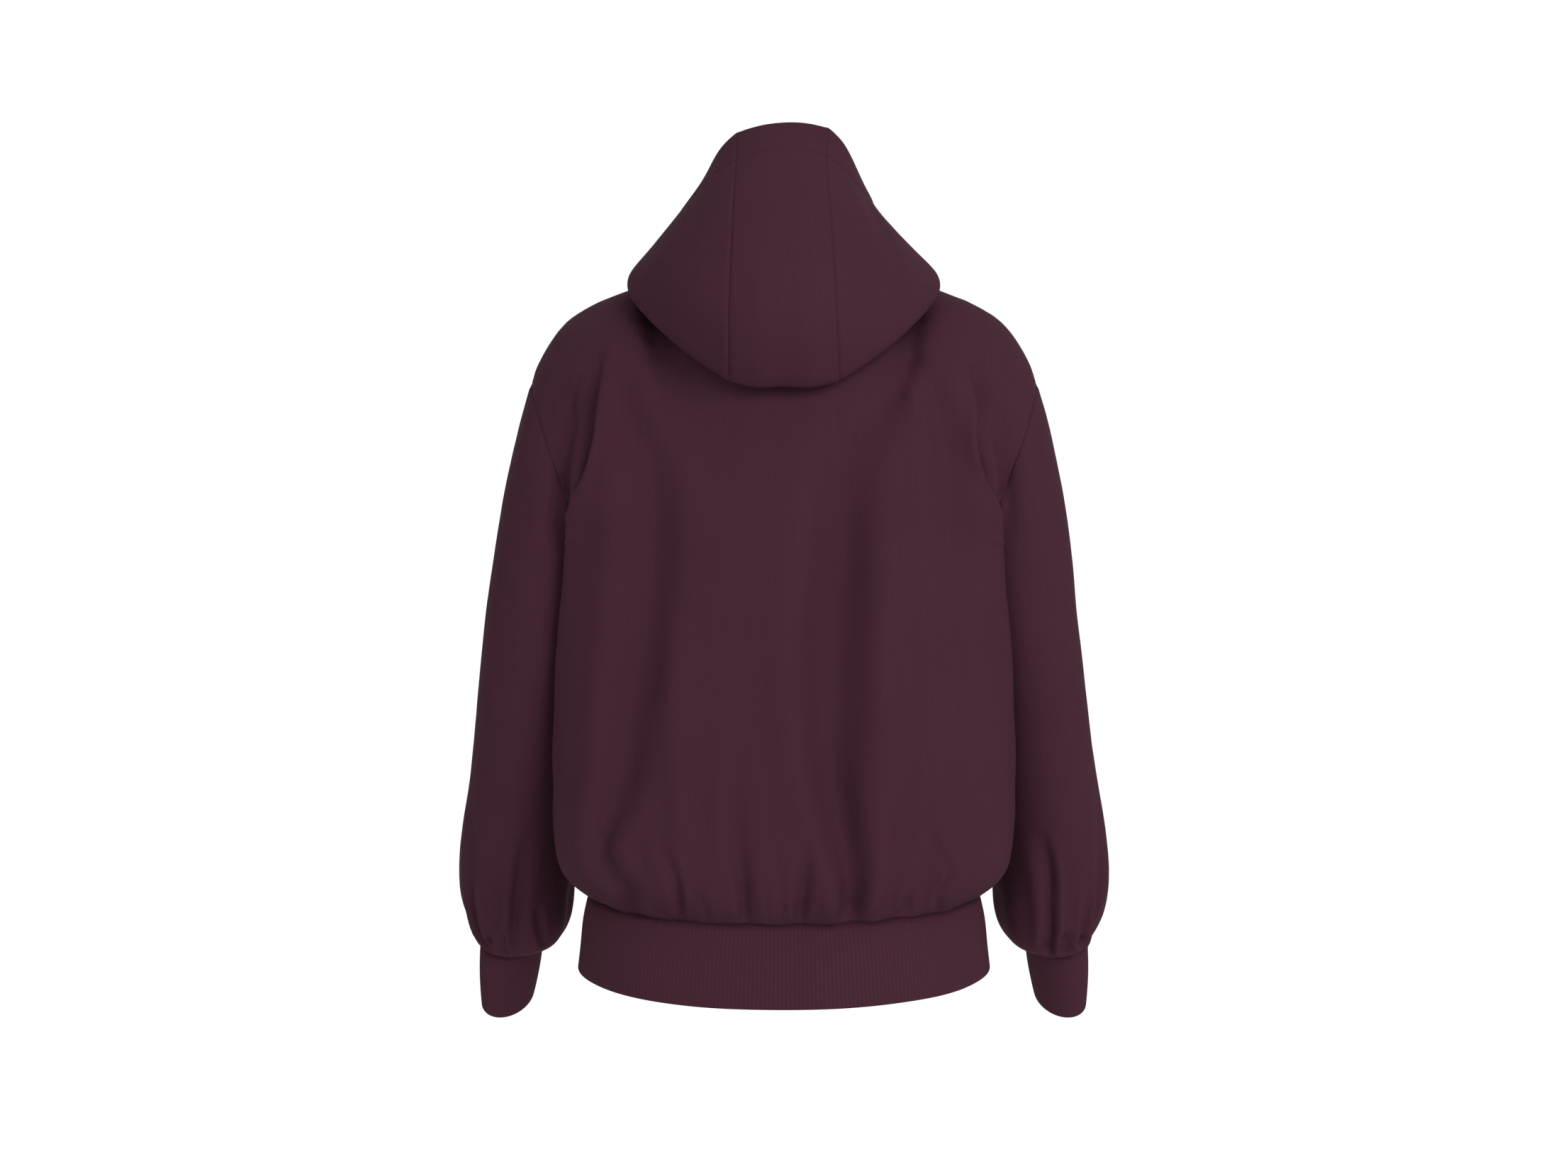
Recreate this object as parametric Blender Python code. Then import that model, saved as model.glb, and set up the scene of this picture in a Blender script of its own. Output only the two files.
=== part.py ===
"""A hooded sweatshirt of brushed fleece, worn and hollow, with its hood down on the back.

The wearer faces -Y, their left is +X and +Z is up. The origin is the centre of the neck
opening, level with the highest points of the shoulders. Every size below is in centimetres,
as on a pattern, and is turned to metres when a wall is made.

Each piece of cloth is a wall with its outer points on one shared skin. The skin is worked
out from a few sections of the body, the sleeves and the hood, and neighbouring pieces share
the points of their seam, drawn back by half of the seam's gap.
"""
import math

import bmesh
import bpy
import numpy as np

CM = 0.01

# Cloth
FLEECE_WALL = 0.2
HOOD_WALL = 0.15
RIB_WALL = 0.3
SEAM_GAP = 0.048

# Neckline and shoulders
NECK_HALF_WIDTH = 8.5
BACK_NECK_DROP = 1.5
FRONT_NECK_DROP = 8.0
BACK_NECK_REACH = 6.5
FRONT_NECK_REACH = 8.0
CENTRE_FRONT_GAP = 0.15

# Hem band
BAND_HEIGHT = 6.9
BAND_SPREAD = 1.15
BAND_TURN = 0.35
BAND_CENTRE = -0.5
BAND_EVENING = 5

# Cuffs
CUFF_END_SHIFT = (0.8, -2.5, -6.15)
CUFF_END_NARROWING = 0.16
CUFF_END_LEAN = 0.2
CUFF_FULLNESS = 0.04

# Sleeves and body
SIDE_CLEARANCE = 0.9
EDGE_ROUNDING = 1.5
SIDE_TURN = 75
YOKE_FOOT_SLOPE = 0.06

# How finely the skin is divided, and how soon a panel's rows are evenly divided
NECK_ANGLES_BACK = (0, 15, 30, 46, 62, 77, 90)
NECK_ANGLES_FRONT = (0, 12, 24, 37, 50, 63, 76, 90)
SHOULDER_COLUMNS = 13
YOKE_ROWS = (0, 0.08, 0.18, 0.30, 0.43, 0.57, 0.71, 0.85, 1)
CUFF_ROWS = 3
BAND_ROWS = 3
DENSE = 8
SECTION_POINTS = 721
ARMHOLE_ROWS = 12
ARMHOLE_REACH = 5
EVEN_SOONER = 1.3

# The highest line of the shoulder, from the neck to the sleeve's seam.
SHOULDER_COLUMNS_NAMED = ("across", "height")
SHOULDER_LINE = (
    (8.5, 0.0),
    (14.3, -1.9),
    (18.4, -3.7),
    (20.3, -5.1),
    (21.7, -7.0),
    (22.7, -8.9),
    (23.2, -10.4),
)

# Level sections of the body. The yoke above the sleeves' seams shares the first one.
BODY_COLUMNS = ("height", "half_width", "back", "front", "centre", "squareness", "side_seam")
BODY_SECTIONS = (
    (-21.9, 25.9, 12.5, -12.7, 0.0, 2.0, -1.0),
    (-24.5, 22.6, 12.6, -12.9, -0.4, 2.2, -1.0),
    (-28.0, 21.7, 12.7, -13.1, -1.0, 2.5, -1.1),
    (-33.0, 21.7, 12.9, -13.3, -1.0, 2.5, -1.5),
    (-38.5, 21.4, 13.2, -13.4, -1.0, 2.5, -2.0),
    (-44.0, 21.2, 13.8, -13.7, -1.0, 2.5, -2.2),
    (-49.0, 21.0, 14.3, -14.1, -1.0, 2.5, -2.0),
    (-53.0, 20.7, 14.5, -14.3, -1.0, 2.5, -1.6),
    (-55.8, 19.5, 13.8, -13.5, -1.0, 2.4, -1.2),
    (-57.0, 17.9, 12.4, -12.2, -1.0, 2.3, -1.0),
)

# Rows of the body below the yoke: the first four end on the underarm part of the armhole.
LOWER_COLUMNS = ("centre_height", "end_height", "end_back", "end_front")
UNDERARM_ROWS = (
    (-23.4, -23.1, 3.9, -4.9),
    (-24.9, -24.0, 2.3, -3.6),
    (-26.4, -24.4, 0.7, -2.3),
    (-28.0, -24.5, -1.0, -1.0),
)
SIDE_COLUMNS = ("centre_height", "end_height")
SIDE_ROWS = (
    (-33.0, -30.5),
    (-38.5, -36.5),
    (-44.0, -42.5),
    (-49.0, -48.0),
    (-52.8, -52.0),
    (-55.6, -54.9),
    (-57.85, -57.0),
)

# How the cloth leaves the neckline and the shoulder line: direction and how far it pulls.
START_COLUMNS = ("across", "dx", "dy", "dz", "pull")
YOKE_STARTS_BACK = (
    (0.0, 0.0, 0.75, -0.66, 1.1),
    (4.25, 0.25, 0.72, -0.64, 1.1),
    (8.5, 0.60, 0.62, -0.50, 1.15),
    (11.5, 0.30, 0.90, -0.30, 1.25),
    (16.0, 0.10, 0.97, -0.22, 1.3),
    (20.0, 0.0, 0.95, -0.30, 1.2),
    (23.2, -0.10, 0.85, -0.50, 1.1),
)
YOKE_STARTS_FRONT = (
    (0.0, 0.0, -0.55, -0.83, 1.0),
    (4.25, 0.15, -0.60, -0.78, 1.0),
    (7.6, 0.55, -0.62, -0.56, 1.05),
    (8.5, 0.65, -0.60, -0.45, 1.1),
    (11.5, 0.30, -0.90, -0.32, 1.25),
    (16.0, 0.10, -0.96, -0.26, 1.3),
    (20.0, 0.0, -0.94, -0.34, 1.2),
    (23.2, -0.10, -0.84, -0.52, 1.1),
)

# The visible part of the armhole seam, and how far it sinks between the arm and the body.
ARMHOLE_COLUMNS = ("height", "across", "depth")
ARMHOLE_BACK = (
    (-10.4, 23.2, 0.0),
    (-12.2, 22.6, 3.2),
    (-13.5, 22.2, 4.4),
    (-15.5, 21.5, 5.9),
    (-17.9, 20.5, 7.2),
    (-20.2, 19.7, 8.0),
    (-21.9, 19.0, 8.5),
)
ARMHOLE_FRONT = (
    (-10.4, 23.2, 0.0),
    (-12.4, 22.5, -3.2),
    (-15.0, 21.3, -5.5),
    (-18.0, 19.9, -7.4),
    (-20.2, 19.0, -8.3),
    (-21.9, 18.4, -8.8),
)
VALLEY_COLUMNS = ("height", "ridge", "valley", "sink", "seam", "seam_sink")
VALLEY_BACK = (
    (-7.5, 15.4, 16.6, 0.0, 23.2, 0.0),
    (-10.5, 15.7, 17.1, 0.7, 23.1, 0.0),
    (-12.5, 16.2, 17.5, 1.5, 22.5, 0.4),
    (-14.5, 16.8, 18.0, 2.2, 21.9, 0.8),
    (-17.0, 17.5, 18.6, 2.6, 20.9, 1.4),
    (-19.5, 18.2, 19.2, 3.0, 19.95, 2.3),
    (-21.9, 18.5, 19.15, 3.5, 19.2, 3.6),
)
VALLEY_FRONT = (
    (-9.0, 15.0, 17.0, 0.0, 23.2, 0.0),
    (-13.0, 15.6, 17.3, 0.6, 22.3, 0.2),
    (-16.0, 16.3, 17.6, 1.4, 20.9, 0.5),
    (-19.0, 17.0, 18.0, 2.1, 19.6, 1.2),
    (-21.9, 17.6, 18.5, 2.8, 18.6, 2.8),
)

# Level sections of the left sleeve. The first two only press in the body's sides.
# A ring leans back by the drop of its back, and sideways by the drop of its inner side.
SLEEVE_COLUMNS = (
    "height", "across", "depth", "outer", "inner", "back", "front", "turn", "back_lean", "inner_lean"
)
SLEEVE_SECTIONS = (
    (-21.9, 20.3, -1.0, 5.7, 0.8, 8.7, 8.0, 0, 0.0, 0.0),
    (-24.5, 20.8, -1.0, 5.7, 3.9, 7.3, 7.2, 0, 0.0, 0.0),
    (-27.5, 21.2, -1.0, 5.7, 4.8, 6.2, 6.4, 0, 0.0, 0.0),
    (-33.0, 22.2, -1.7, 5.5, 5.0, 6.4, 6.5, 0, 0.10, 0.05),
    (-38.0, 23.0, -2.7, 5.35, 5.0, 6.3, 6.4, 4, 0.18, 0.08),
    (-44.0, 23.8, -4.3, 5.3, 5.0, 6.1, 6.2, 8, 0.25, 0.10),
    (-49.0, 24.6, -5.8, 5.3, 5.1, 6.0, 6.1, 12, 0.27, 0.10),
    (-54.0, 25.4, -7.3, 5.5, 5.2, 5.9, 6.0, 16, 0.28, 0.10),
    (-58.3, 25.6, -8.5, 5.5, 5.3, 5.7, 5.7, 22, 0.30, 0.12),
    (-60.9, 25.7, -9.0, 5.0, 4.9, 5.2, 5.2, 26, 0.32, 0.16),
    (-62.5, 26.0, -9.4, 4.0, 3.9, 4.4, 4.4, 30, 0.34, 0.18),
    (-63.3, 26.45, -9.7, 2.6, 2.6, 3.5, 3.5, 35, 0.35, 0.12),
)
SLEEVE_RINGS = (-27.5, -30.5, -34.5, -39.0, -43.5, -48.0, -52.0, -55.5, -58.3, -60.9, -62.5, -63.3)
CAP_RINGS = 4
CAP_PULL = 0.95
CAP_SPREAD = 0.32
CAP_FULLNESS = 0.15

# Long soft folds hung from the shoulders, and the gathers at the band.
FOLD_COLUMNS = ("top_across", "top_height", "low_across", "low_height", "sink", "half_width")
FOLDS_BACK = (
    (9.8, -15.0, 13.6, -53.0, 0.75, 2.6),
    (-5.6, -16.0, -4.0, -54.0, 0.95, 2.6),
    (-13.4, -10.0, -14.8, -30.0, 0.35, 1.6),
    (13.8, -8.5, 13.2, -19.0, 0.3, 1.3),
    (2.2, -34.0, 3.0, -58.0, 0.3, 1.6),
    (-9.4, -44.0, -9.8, -59.0, 0.4, 1.3),
    (-13.2, -48.0, -11.6, -58.0, 0.5, 1.1),
)
FOLDS_FRONT = (
    (6.4, -17.0, 9.5, -53.0, 0.75, 2.8),
    (-8.2, -18.0, -6.6, -55.0, 0.8, 2.6),
    (14.2, -13.0, 13.0, -30.0, 0.5, 1.8),
    (-13.8, -12.0, -13.6, -27.0, 0.45, 1.8),
    (0.6, -40.0, 1.2, -58.0, 0.35, 1.8),
    (-12.6, -47.0, -11.8, -59.0, 0.4, 1.2),
)
GATHER_COLUMNS = ("across", "sink", "half_width", "rise")
GATHERS_BACK = (
    (15.4, 0.35, 0.9, 5.0),
    (12.2, 0.5, 1.1, 9.0),
    (8.5, 0.45, 1.1, 7.0),
    (3.0, 0.4, 1.1, 8.0),
    (-1.4, 0.4, 1.0, 7.0),
    (-6.0, 0.5, 1.2, 9.0),
    (-9.4, 0.4, 0.9, 6.0),
    (-12.6, 0.45, 0.9, 6.5),
    (-15.6, 0.35, 0.9, 5.0),
)
GATHERS_FRONT = (
    (15.0, 0.35, 0.9, 5.0),
    (11.4, 0.45, 1.1, 8.0),
    (7.2, 0.4, 1.1, 7.0),
    (3.4, 0.45, 1.1, 9.0),
    (-0.8, 0.35, 1.0, 6.0),
    (-5.0, 0.45, 1.1, 8.0),
    (-8.8, 0.4, 1.1, 7.0),
    (-12.4, 0.45, 0.9, 8.0),
    (-15.4, 0.35, 0.9, 5.0),
)

# Tucks where each sleeve is gathered into its cuff, by their place round the sleeve.
TUCK_COLUMNS = ("angle", "low_height", "top_height", "sink", "half_width")
TUCKS_LEFT = (
    (92, -63.9, -51.0, 0.75, 11),
    (138, -63.9, -56.0, 0.5, 10),
    (48, -63.9, -57.0, 0.35, 10),
    (195, -63.9, -54.0, 0.5, 12),
    (250, -63.9, -52.0, 0.6, 12),
    (310, -63.9, -55.0, 0.5, 12),
    (262, -43.0, -33.0, 0.5, 16),
    (232, -46.5, -36.5, 0.4, 14),
)
TUCKS_RIGHT = (
    (100, -63.9, -52.0, 0.7, 11),
    (58, -63.9, -57.0, 0.5, 10),
    (142, -63.9, -57.5, 0.35, 10),
    (188, -63.9, -55.0, 0.5, 12),
    (240, -63.9, -53.0, 0.55, 12),
    (300, -63.9, -54.0, 0.55, 12),
    (270, -44.5, -34.0, 0.5, 16),
    (225, -41.0, -33.0, 0.4, 14),
    (0, -52.0, -4.0, 0.5, 42),
)

# Sections of the hood from the neck seam to its face edge, from the middle of the back to
# the middle of the front. Each is a run of points: rolled over the neck, under on the back,
# the fold it hangs to, its full outside, its shoulder, its hem and its face edge.
HOOD_COLUMNS = ("neck_column", "roll", "under", "fold", "full", "shoulder", "hem", "edge")
HOOD_SECTIONS = (
    (0, (0, 8.2, 2.2), (0, 10.6, -5.2), (0, 13.6, -12.3), (0, 17.3, -7.0), (0, 15.2, 2.0),
     (0, 11.6, 7.8), (0, 8.2, 11.3)),
    (2, (4.25, 7.7, 2.3), (4.3, 10.3, -5.0), (4.4, 13.4, -12.6), (4.3, 16.9, -6.8),
     (4.25, 14.7, 2.0), (4.2, 11.1, 7.2), (4.2, 7.8, 10.5)),
    (4, (7.6, 4.6, 2.6), (9.4, 7.8, -3.2), (11.9, 10.5, -6.4), (11.2, 12.1, -2.5),
     (9.0, 10.4, 2.5), (7.7, 7.3, 5.8), (6.7, 4.9, 7.9)),
    (5, (8.6, 2.2, 2.3), (10.6, 4.4, -0.8), (15.0, 5.9, -2.8), (12.1, 7.3, 0.4),
     (10.2, 6.3, 3.0), (8.9, 4.0, 5.0), (7.9, 2.0, 6.3)),
    (6, (9.1, -0.3, 1.5), (10.5, 0.8, 0.5), (13.9, 1.3, -0.4), (12.4, 2.6, 1.6),
     (10.9, 2.2, 3.1), (9.7, 0.2, 4.4), (8.7, -0.9, 5.2)),
    (7, (8.55, -3.0, 0.0), (9.5, -2.7, -0.1), (10.8, -2.6, 0.0), (10.8, -1.9, 1.2),
     (9.9, -1.8, 2.4), (8.9, -2.6, 2.9), (8.2, -3.3, 3.4)),
    (8, (7.8, -4.75, -1.75), (8.5, -4.8, -1.5), (9.3, -4.7, -1.1), (9.5, -4.3, -0.2),
     (9.0, -4.2, 0.8), (8.3, -4.6, 1.3), (7.6, -5.0, 1.6)),
    (9, (6.9, -6.3, -3.9), (7.4, -6.5, -3.6), (7.9, -6.5, -3.1), (8.1, -6.2, -2.3),
     (7.9, -6.1, -1.6), (7.2, -6.1, -0.9), (6.4, -6.2, -0.3)),
    (13, (0.5, -8.15, -7.62), (0.85, -8.27, -7.24), (1.2, -8.35, -6.85), (1.55, -8.38, -6.47),
     (1.9, -8.36, -6.08), (2.2, -8.3, -5.7), (2.45, -8.2, -5.35)),
)
HOOD_SPANS = (3, 3, 3, 1, 1, 3, 3, 3, 2)
HOOD_ROUNDING = 2
FOLD_PLACE = 3
FOLD_RADIUS = 0.6

# The right half of the hood lies a little closer and stands a little higher than the left.
RIGHT_HOOD_SHARES = (0.0, 0.6, 1.0, 1.0, 0.8, 0.5, 0.3, 0.1, 0.0)
RIGHT_HOOD_COLUMNS = ("narrower", "higher")
RIGHT_HOOD_LEAN = (
    (0.0, 0.0),
    (0.0, 0.0),
    (0.0, 0.0),
    (0.0, 0.0),
    (0.5, 0.1),
    (0.75, 0.0),
    (0.9, 0.2),
    (0.5, 0.75),
)

# Cloth colours as sRGB values
FLEECE_COLOUR = (0.275, 0.165, 0.208)
HOOD_COLOUR = (0.270, 0.162, 0.204)
RIB_COLOUR = (0.266, 0.160, 0.200)
ROUGHNESS = 0.92


def column(table, names, name):
    """One named column of a table, as numbers."""
    place = names.index(name)
    return np.array([row[place] for row in table], dtype=float)


def through(knots, values, at):
    """A smooth curve through values at rising knots, read at other places."""
    knots = np.asarray(knots, dtype=float)
    values = np.asarray(values, dtype=float)
    at = np.clip(np.asarray(at, dtype=float), knots[0], knots[-1])
    steps = np.diff(knots)
    shape = (-1,) + (1,) * (values.ndim - 1)
    rises = np.diff(values, axis=0) / steps.reshape(shape)
    slopes = np.empty_like(values)
    slopes[0] = rises[0]
    slopes[-1] = rises[-1]
    before = steps[:-1].reshape(shape)
    after = steps[1:].reshape(shape)
    slopes[1:-1] = (rises[:-1] * after + rises[1:] * before) / (before + after)
    index = np.clip(np.searchsorted(knots, at, side="right") - 1, 0, len(knots) - 2)
    width = steps[index]
    share = (at - knots[index]) / width
    spread = share.shape + (1,) * (values.ndim - 1)
    share = share.reshape(spread)
    width = width.reshape(spread)
    start = values[index]
    end = values[index + 1]
    bend = slopes[index] * width
    finish = slopes[index + 1] * width
    return hermite(start, bend, end, finish, share)


def hermite(start, leave, end, arrive, share):
    """Cubic curve between two points with the given end directions."""
    square = share * share
    cube = square * share
    return (
        (2 * cube - 3 * square + 1) * start
        + (cube - 2 * square + share) * leave
        + (3 * square - 2 * cube) * end
        + (cube - square) * arrive
    )


def by_height(table, names, name, height):
    """A column of a table whose rows go down, read at a height."""
    heights = column(table, names, "height")
    return through(-heights, column(table, names, name), -np.asarray(height, dtype=float))


def ease(share):
    """Smooth step from 0 to 1."""
    share = np.clip(share, 0.0, 1.0)
    return share * share * (3 - 2 * share)


def lengths(points):
    """Length along a run of points, from 0."""
    steps = np.linalg.norm(np.diff(points, axis=0), axis=1)
    return np.concatenate(([0.0], np.cumsum(steps)))


def at_shares(points, shares):
    """Points at shares of the length of a run of points."""
    along = lengths(points)
    wanted = np.asarray(shares, dtype=float) * along[-1]
    return np.stack([np.interp(wanted, along, points[:, axis]) for axis in range(3)], axis=1)


def soft_smaller(first, second, rounding):
    """The smaller of two values, with the corner between them rounded."""
    near = np.maximum(rounding - np.abs(first - second), 0.0) / rounding
    return np.minimum(first, second) - near * near * rounding / 4


def neckline(angle, side):
    """A point of the neck seam; the angle is 0 at the centre and 90 at the shoulder."""
    turn = math.radians(angle)
    sine = math.sin(turn)
    cosine = max(math.cos(turn), 0.0)
    if side > 0:
        return (NECK_HALF_WIDTH * sine, BACK_NECK_REACH * cosine, -BACK_NECK_DROP * cosine ** 2)
    depth = -FRONT_NECK_REACH * cosine ** 0.7
    return (NECK_HALF_WIDTH * sine, depth, -FRONT_NECK_DROP * cosine ** 1.5)


def top_line(side):
    """Points of a panel's top edge: the neck seam, then the shoulder seam."""
    angles = NECK_ANGLES_BACK if side > 0 else NECK_ANGLES_FRONT
    neck = np.array([neckline(angle, side) for angle in angles])
    across = column(SHOULDER_LINE, SHOULDER_COLUMNS_NAMED, "across")
    height = column(SHOULDER_LINE, SHOULDER_COLUMNS_NAMED, "height")
    fine = np.linspace(across[0], across[-1], 200)
    line = np.stack([fine, np.zeros_like(fine), through(across, height, fine)], axis=1)
    shoulder = at_shares(line, np.linspace(0, 1, SHOULDER_COLUMNS + 1))
    return np.concatenate([neck, shoulder[1:]])


def yoke(side):
    """Rows of half a panel from its top edge down to the foot of the armhole's seam."""
    top = top_line(side)
    last = len(top) - 1
    fine = np.linspace(0, last, last * DENSE + 1)
    start = np.empty((len(fine), 3))
    corner = len(NECK_ANGLES_BACK if side > 0 else NECK_ANGLES_FRONT) - 1
    for bound in (slice(0, corner + 1), slice(corner, last + 1)):
        knots = np.arange(last + 1)[bound]
        inside = (fine >= knots[0]) & (fine <= knots[-1])
        start[inside] = through(knots, top[bound], fine[inside])
    starts = YOKE_STARTS_BACK if side > 0 else YOKE_STARTS_FRONT
    knots = column(starts, START_COLUMNS, "across")
    ways = [through(knots, column(starts, START_COLUMNS, name), start[:, 0]) for name in ("dx", "dy", "dz")]
    leave = np.stack(ways, axis=1)
    leave /= np.linalg.norm(leave, axis=1, keepdims=True)
    pull = through(knots, column(starts, START_COLUMNS, "pull"), start[:, 0])

    armhole = ARMHOLE_BACK if side > 0 else ARMHOLE_FRONT
    seam = np.stack(
        [column(armhole, ARMHOLE_COLUMNS, name) for name in ("across", "depth", "height")], axis=1
    )
    level = BODY_SECTIONS[0][0]
    reach = float(by_height(BODY_SECTIONS, BODY_COLUMNS, "back" if side > 0 else "front", level))
    half = BODY_SECTIONS[0][1]
    angle = np.linspace(0, math.asin(seam[-1, 0] / half), len(fine))
    foot = np.stack([half * np.sin(angle), reach * np.cos(angle), np.full(len(fine), level)], axis=1)

    shares = np.linspace(0, 1, (len(YOKE_ROWS) - 1) * DENSE + 1)
    line = through(lengths(seam) / lengths(seam)[-1], seam, shares)
    chord = np.linalg.norm(foot - start, axis=1, keepdims=True)
    arrive = np.tile(np.array([0.0, YOKE_FOOT_SLOPE * side, -1.0]), (len(fine), 1))
    rows = []
    for share, edge in zip(shares, line):
        row = hermite(start, leave * chord * pull[:, None], foot, arrive * chord, share)
        weight = (fine / last)[:, None] ** ARMHOLE_REACH
        row = row + weight * (edge - row[-1])
        rows.append(row)
    skin = np.array(rows)
    skin = sink_valley(skin, side)

    columns = np.array([at_shares(skin[:, place], YOKE_ROWS) for place in range(skin.shape[1])])
    dense_rows = np.swapaxes(columns, 0, 1)
    own = np.linspace(0, 1, last + 1)
    out = [top]
    for index, row in enumerate(dense_rows[1:], start=1):
        natural = (lengths(row) / lengths(row)[-1])[::DENSE]
        blend = ease(index / (len(YOKE_ROWS) - 1) * EVEN_SOONER)
        out.append(at_shares(row, natural * (1 - blend) + own * blend))
    return np.array(out)


def sink_valley(skin, side):
    """Press in the fold that runs from the shoulder blade or the chest to the underarm."""
    table = VALLEY_BACK if side > 0 else VALLEY_FRONT
    height = skin[..., 2]
    across = skin[..., 0]
    ridge, valley, sink, seam, seam_sink = (
        by_height(table, VALLEY_COLUMNS, name, height) for name in VALLEY_COLUMNS[1:]
    )
    inner = sink * ease((across - ridge) / (valley - ridge))
    outer = sink + (seam_sink - sink) * np.clip((across - valley) / (seam - valley), 0, 1)
    depth = np.where(across < valley, inner, outer)
    out = skin.copy()
    out[..., 1] -= side * depth
    return out


def body_section(centre_height, end_height):
    """Half of a body section from the middle of the back round to the middle of the front."""
    turn = np.linspace(0, math.pi, SECTION_POINTS)
    swing = np.clip(np.minimum(turn, math.pi - turn) / math.radians(SIDE_TURN), 0, 1) ** 2
    height = centre_height + (end_height - centre_height) * swing

    def read(name):
        return by_height(BODY_SECTIONS, BODY_COLUMNS, name, height)

    power = 2 / read("squareness")
    middle = read("centre")
    across = read("half_width") * np.sin(turn) ** power
    lean = np.abs(np.cos(turn)) ** power
    depth = np.where(
        turn < math.pi / 2,
        middle + (read("back") - middle) * lean,
        middle + (read("front") - middle) * lean,
    )

    def sleeve(name):
        return by_height(SLEEVE_SECTIONS, SLEEVE_COLUMNS, name, height)

    away = depth - sleeve("depth")
    reach = np.where(away > 0, sleeve("back"), sleeve("front")) + SIDE_CLEARANCE
    inside = np.clip(1 - (away / reach) ** 2, 0, None)
    pressed = sleeve("across") - (sleeve("inner") + SIDE_CLEARANCE) * np.sqrt(inside)
    pressed = np.where(inside > 0, pressed, across + EDGE_ROUNDING)
    across = soft_smaller(across, pressed, EDGE_ROUNDING)
    across[0] = 0.0
    across[-1] = 0.0
    return np.stack([across, depth, height], axis=1)


def cut_section(section, end_depth, side):
    """The part of a half section from the middle of the back or front to a given depth."""
    if side > 0:
        run = section
        place = int(np.argmax(run[:, 1] < end_depth))
    else:
        run = section[::-1]
        place = int(np.argmax(run[:, 1] > end_depth))
    before = run[place - 1]
    after = run[place]
    share = (end_depth - before[1]) / (after[1] - before[1])
    return np.concatenate([run[:place], [before + (after - before) * share]])


def side_depth(height):
    """Where the side seam lies, front to back."""
    return float(by_height(BODY_SECTIONS, BODY_COLUMNS, "side_seam", height))


def lower_rows(side, columns):
    """Rows of half a panel from below the yoke down to the band's seam."""
    shares = np.linspace(0, 1, columns + 1)
    out = []
    for centre, end, end_back, end_front in UNDERARM_ROWS:
        section = body_section(centre, end)
        out.append(at_shares(cut_section(section, end_back if side > 0 else end_front, side), shares))
    for centre, end in SIDE_ROWS:
        section = body_section(centre, end)
        out.append(at_shares(cut_section(section, side_depth(end), side), shares))
    return np.array(out)


def mirrored(points):
    """The same points on the wearer's other side."""
    return points * np.array([-1.0, 1.0, 1.0])


def panel(side):
    """Outer points of the whole back or front, before its folds, from the left to the right."""
    top = yoke(side)
    low = lower_rows(side, top.shape[1] - 1)
    half = np.concatenate([top, low])
    return np.concatenate([half[:, ::-1], mirrored(half[:, 1:])], axis=1)


def fold_depth(points, folds, gathers, edge_share):
    """How far the cloth sinks at each point for its hanging folds and its gathers."""
    across = points[..., 0]
    height = points[..., 2]
    depth = np.zeros(across.shape)
    for top_across, top_height, low_across, low_height, sink, half_width in folds:
        share = (height - top_height) / (low_height - top_height)
        centre = top_across + (low_across - top_across) * share
        fade = ease(share * 3) * ease((1 - share) * 5)
        depth += sink * fade * np.exp(-(((across - centre) / half_width) ** 2))
    foot = SIDE_ROWS[-1][0]
    for centre, sink, half_width, rise in gathers:
        share = (height - foot) / rise
        fade = ease((1 - share) * 1.6) * (0.35 + 0.65 * ease(share * 4))
        depth += sink * fade * np.exp(-(((across - centre) / half_width) ** 2))
    return depth * edge_share


def grid_normals(points, closed, out_at, out_to):
    """Unit normals of a grid of points, facing out at a given row and column."""
    down = np.gradient(points, axis=0)
    if closed:
        across = (np.roll(points, -1, axis=1) - np.roll(points, 1, axis=1)) / 2
    else:
        across = np.gradient(points, axis=1)
    normals = np.cross(down, across)
    size = np.linalg.norm(normals, axis=2, keepdims=True)
    normals = normals / np.maximum(size, 1e-9)
    if np.dot(normals[out_at], np.asarray(out_to, dtype=float)) < 0:
        normals = -normals
    return normals


def side_fade(columns):
    """Folds fade out over the two columns beside a panel's side edges."""
    place = np.arange(columns)
    nearest = np.minimum(place, columns - 1 - place)
    return ease(nearest / 2.5)


def folded_panel(side):
    """Outer points of the back or the front with its folds and gathers."""
    points = panel(side)
    middle = points.shape[1] // 2
    normals = grid_normals(points, False, (12, middle), (0, side, 0))
    folds = FOLDS_BACK if side > 0 else FOLDS_FRONT
    gathers = GATHERS_BACK if side > 0 else GATHERS_FRONT
    depth = fold_depth(points, folds, gathers, side_fade(points.shape[1])[None, :])
    depth[0] = 0.0
    return points - normals * depth[..., None]


def sleeve_ring(height, angles):
    """A ring of the left sleeve, square to its run, from its outside round by the back."""

    def read(name):
        return float(by_height(SLEEVE_SECTIONS, SLEEVE_COLUMNS, name, height))

    turn = np.radians(angles)
    wide = np.where(np.cos(turn) > 0, read("outer"), read("inner")) * np.cos(turn)
    deep = np.where(np.sin(turn) > 0, read("back"), read("front")) * np.sin(turn)
    spin = math.radians(read("turn"))
    across = wide * math.cos(spin) + deep * math.sin(spin)
    depth = deep * math.cos(spin) - wide * math.sin(spin)
    lift = read("inner_lean") * across - read("back_lean") * depth
    return np.stack([read("across") + across, read("depth") + depth, height + lift], axis=1)


def armhole(back, front):
    """The armhole's loop on the left: down the back's edge, then up the front's."""
    rows = len(YOKE_ROWS) + len(UNDERARM_ROWS)
    return np.concatenate([back[:rows, 0], front[rows - 2:0:-1, 0]])


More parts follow.
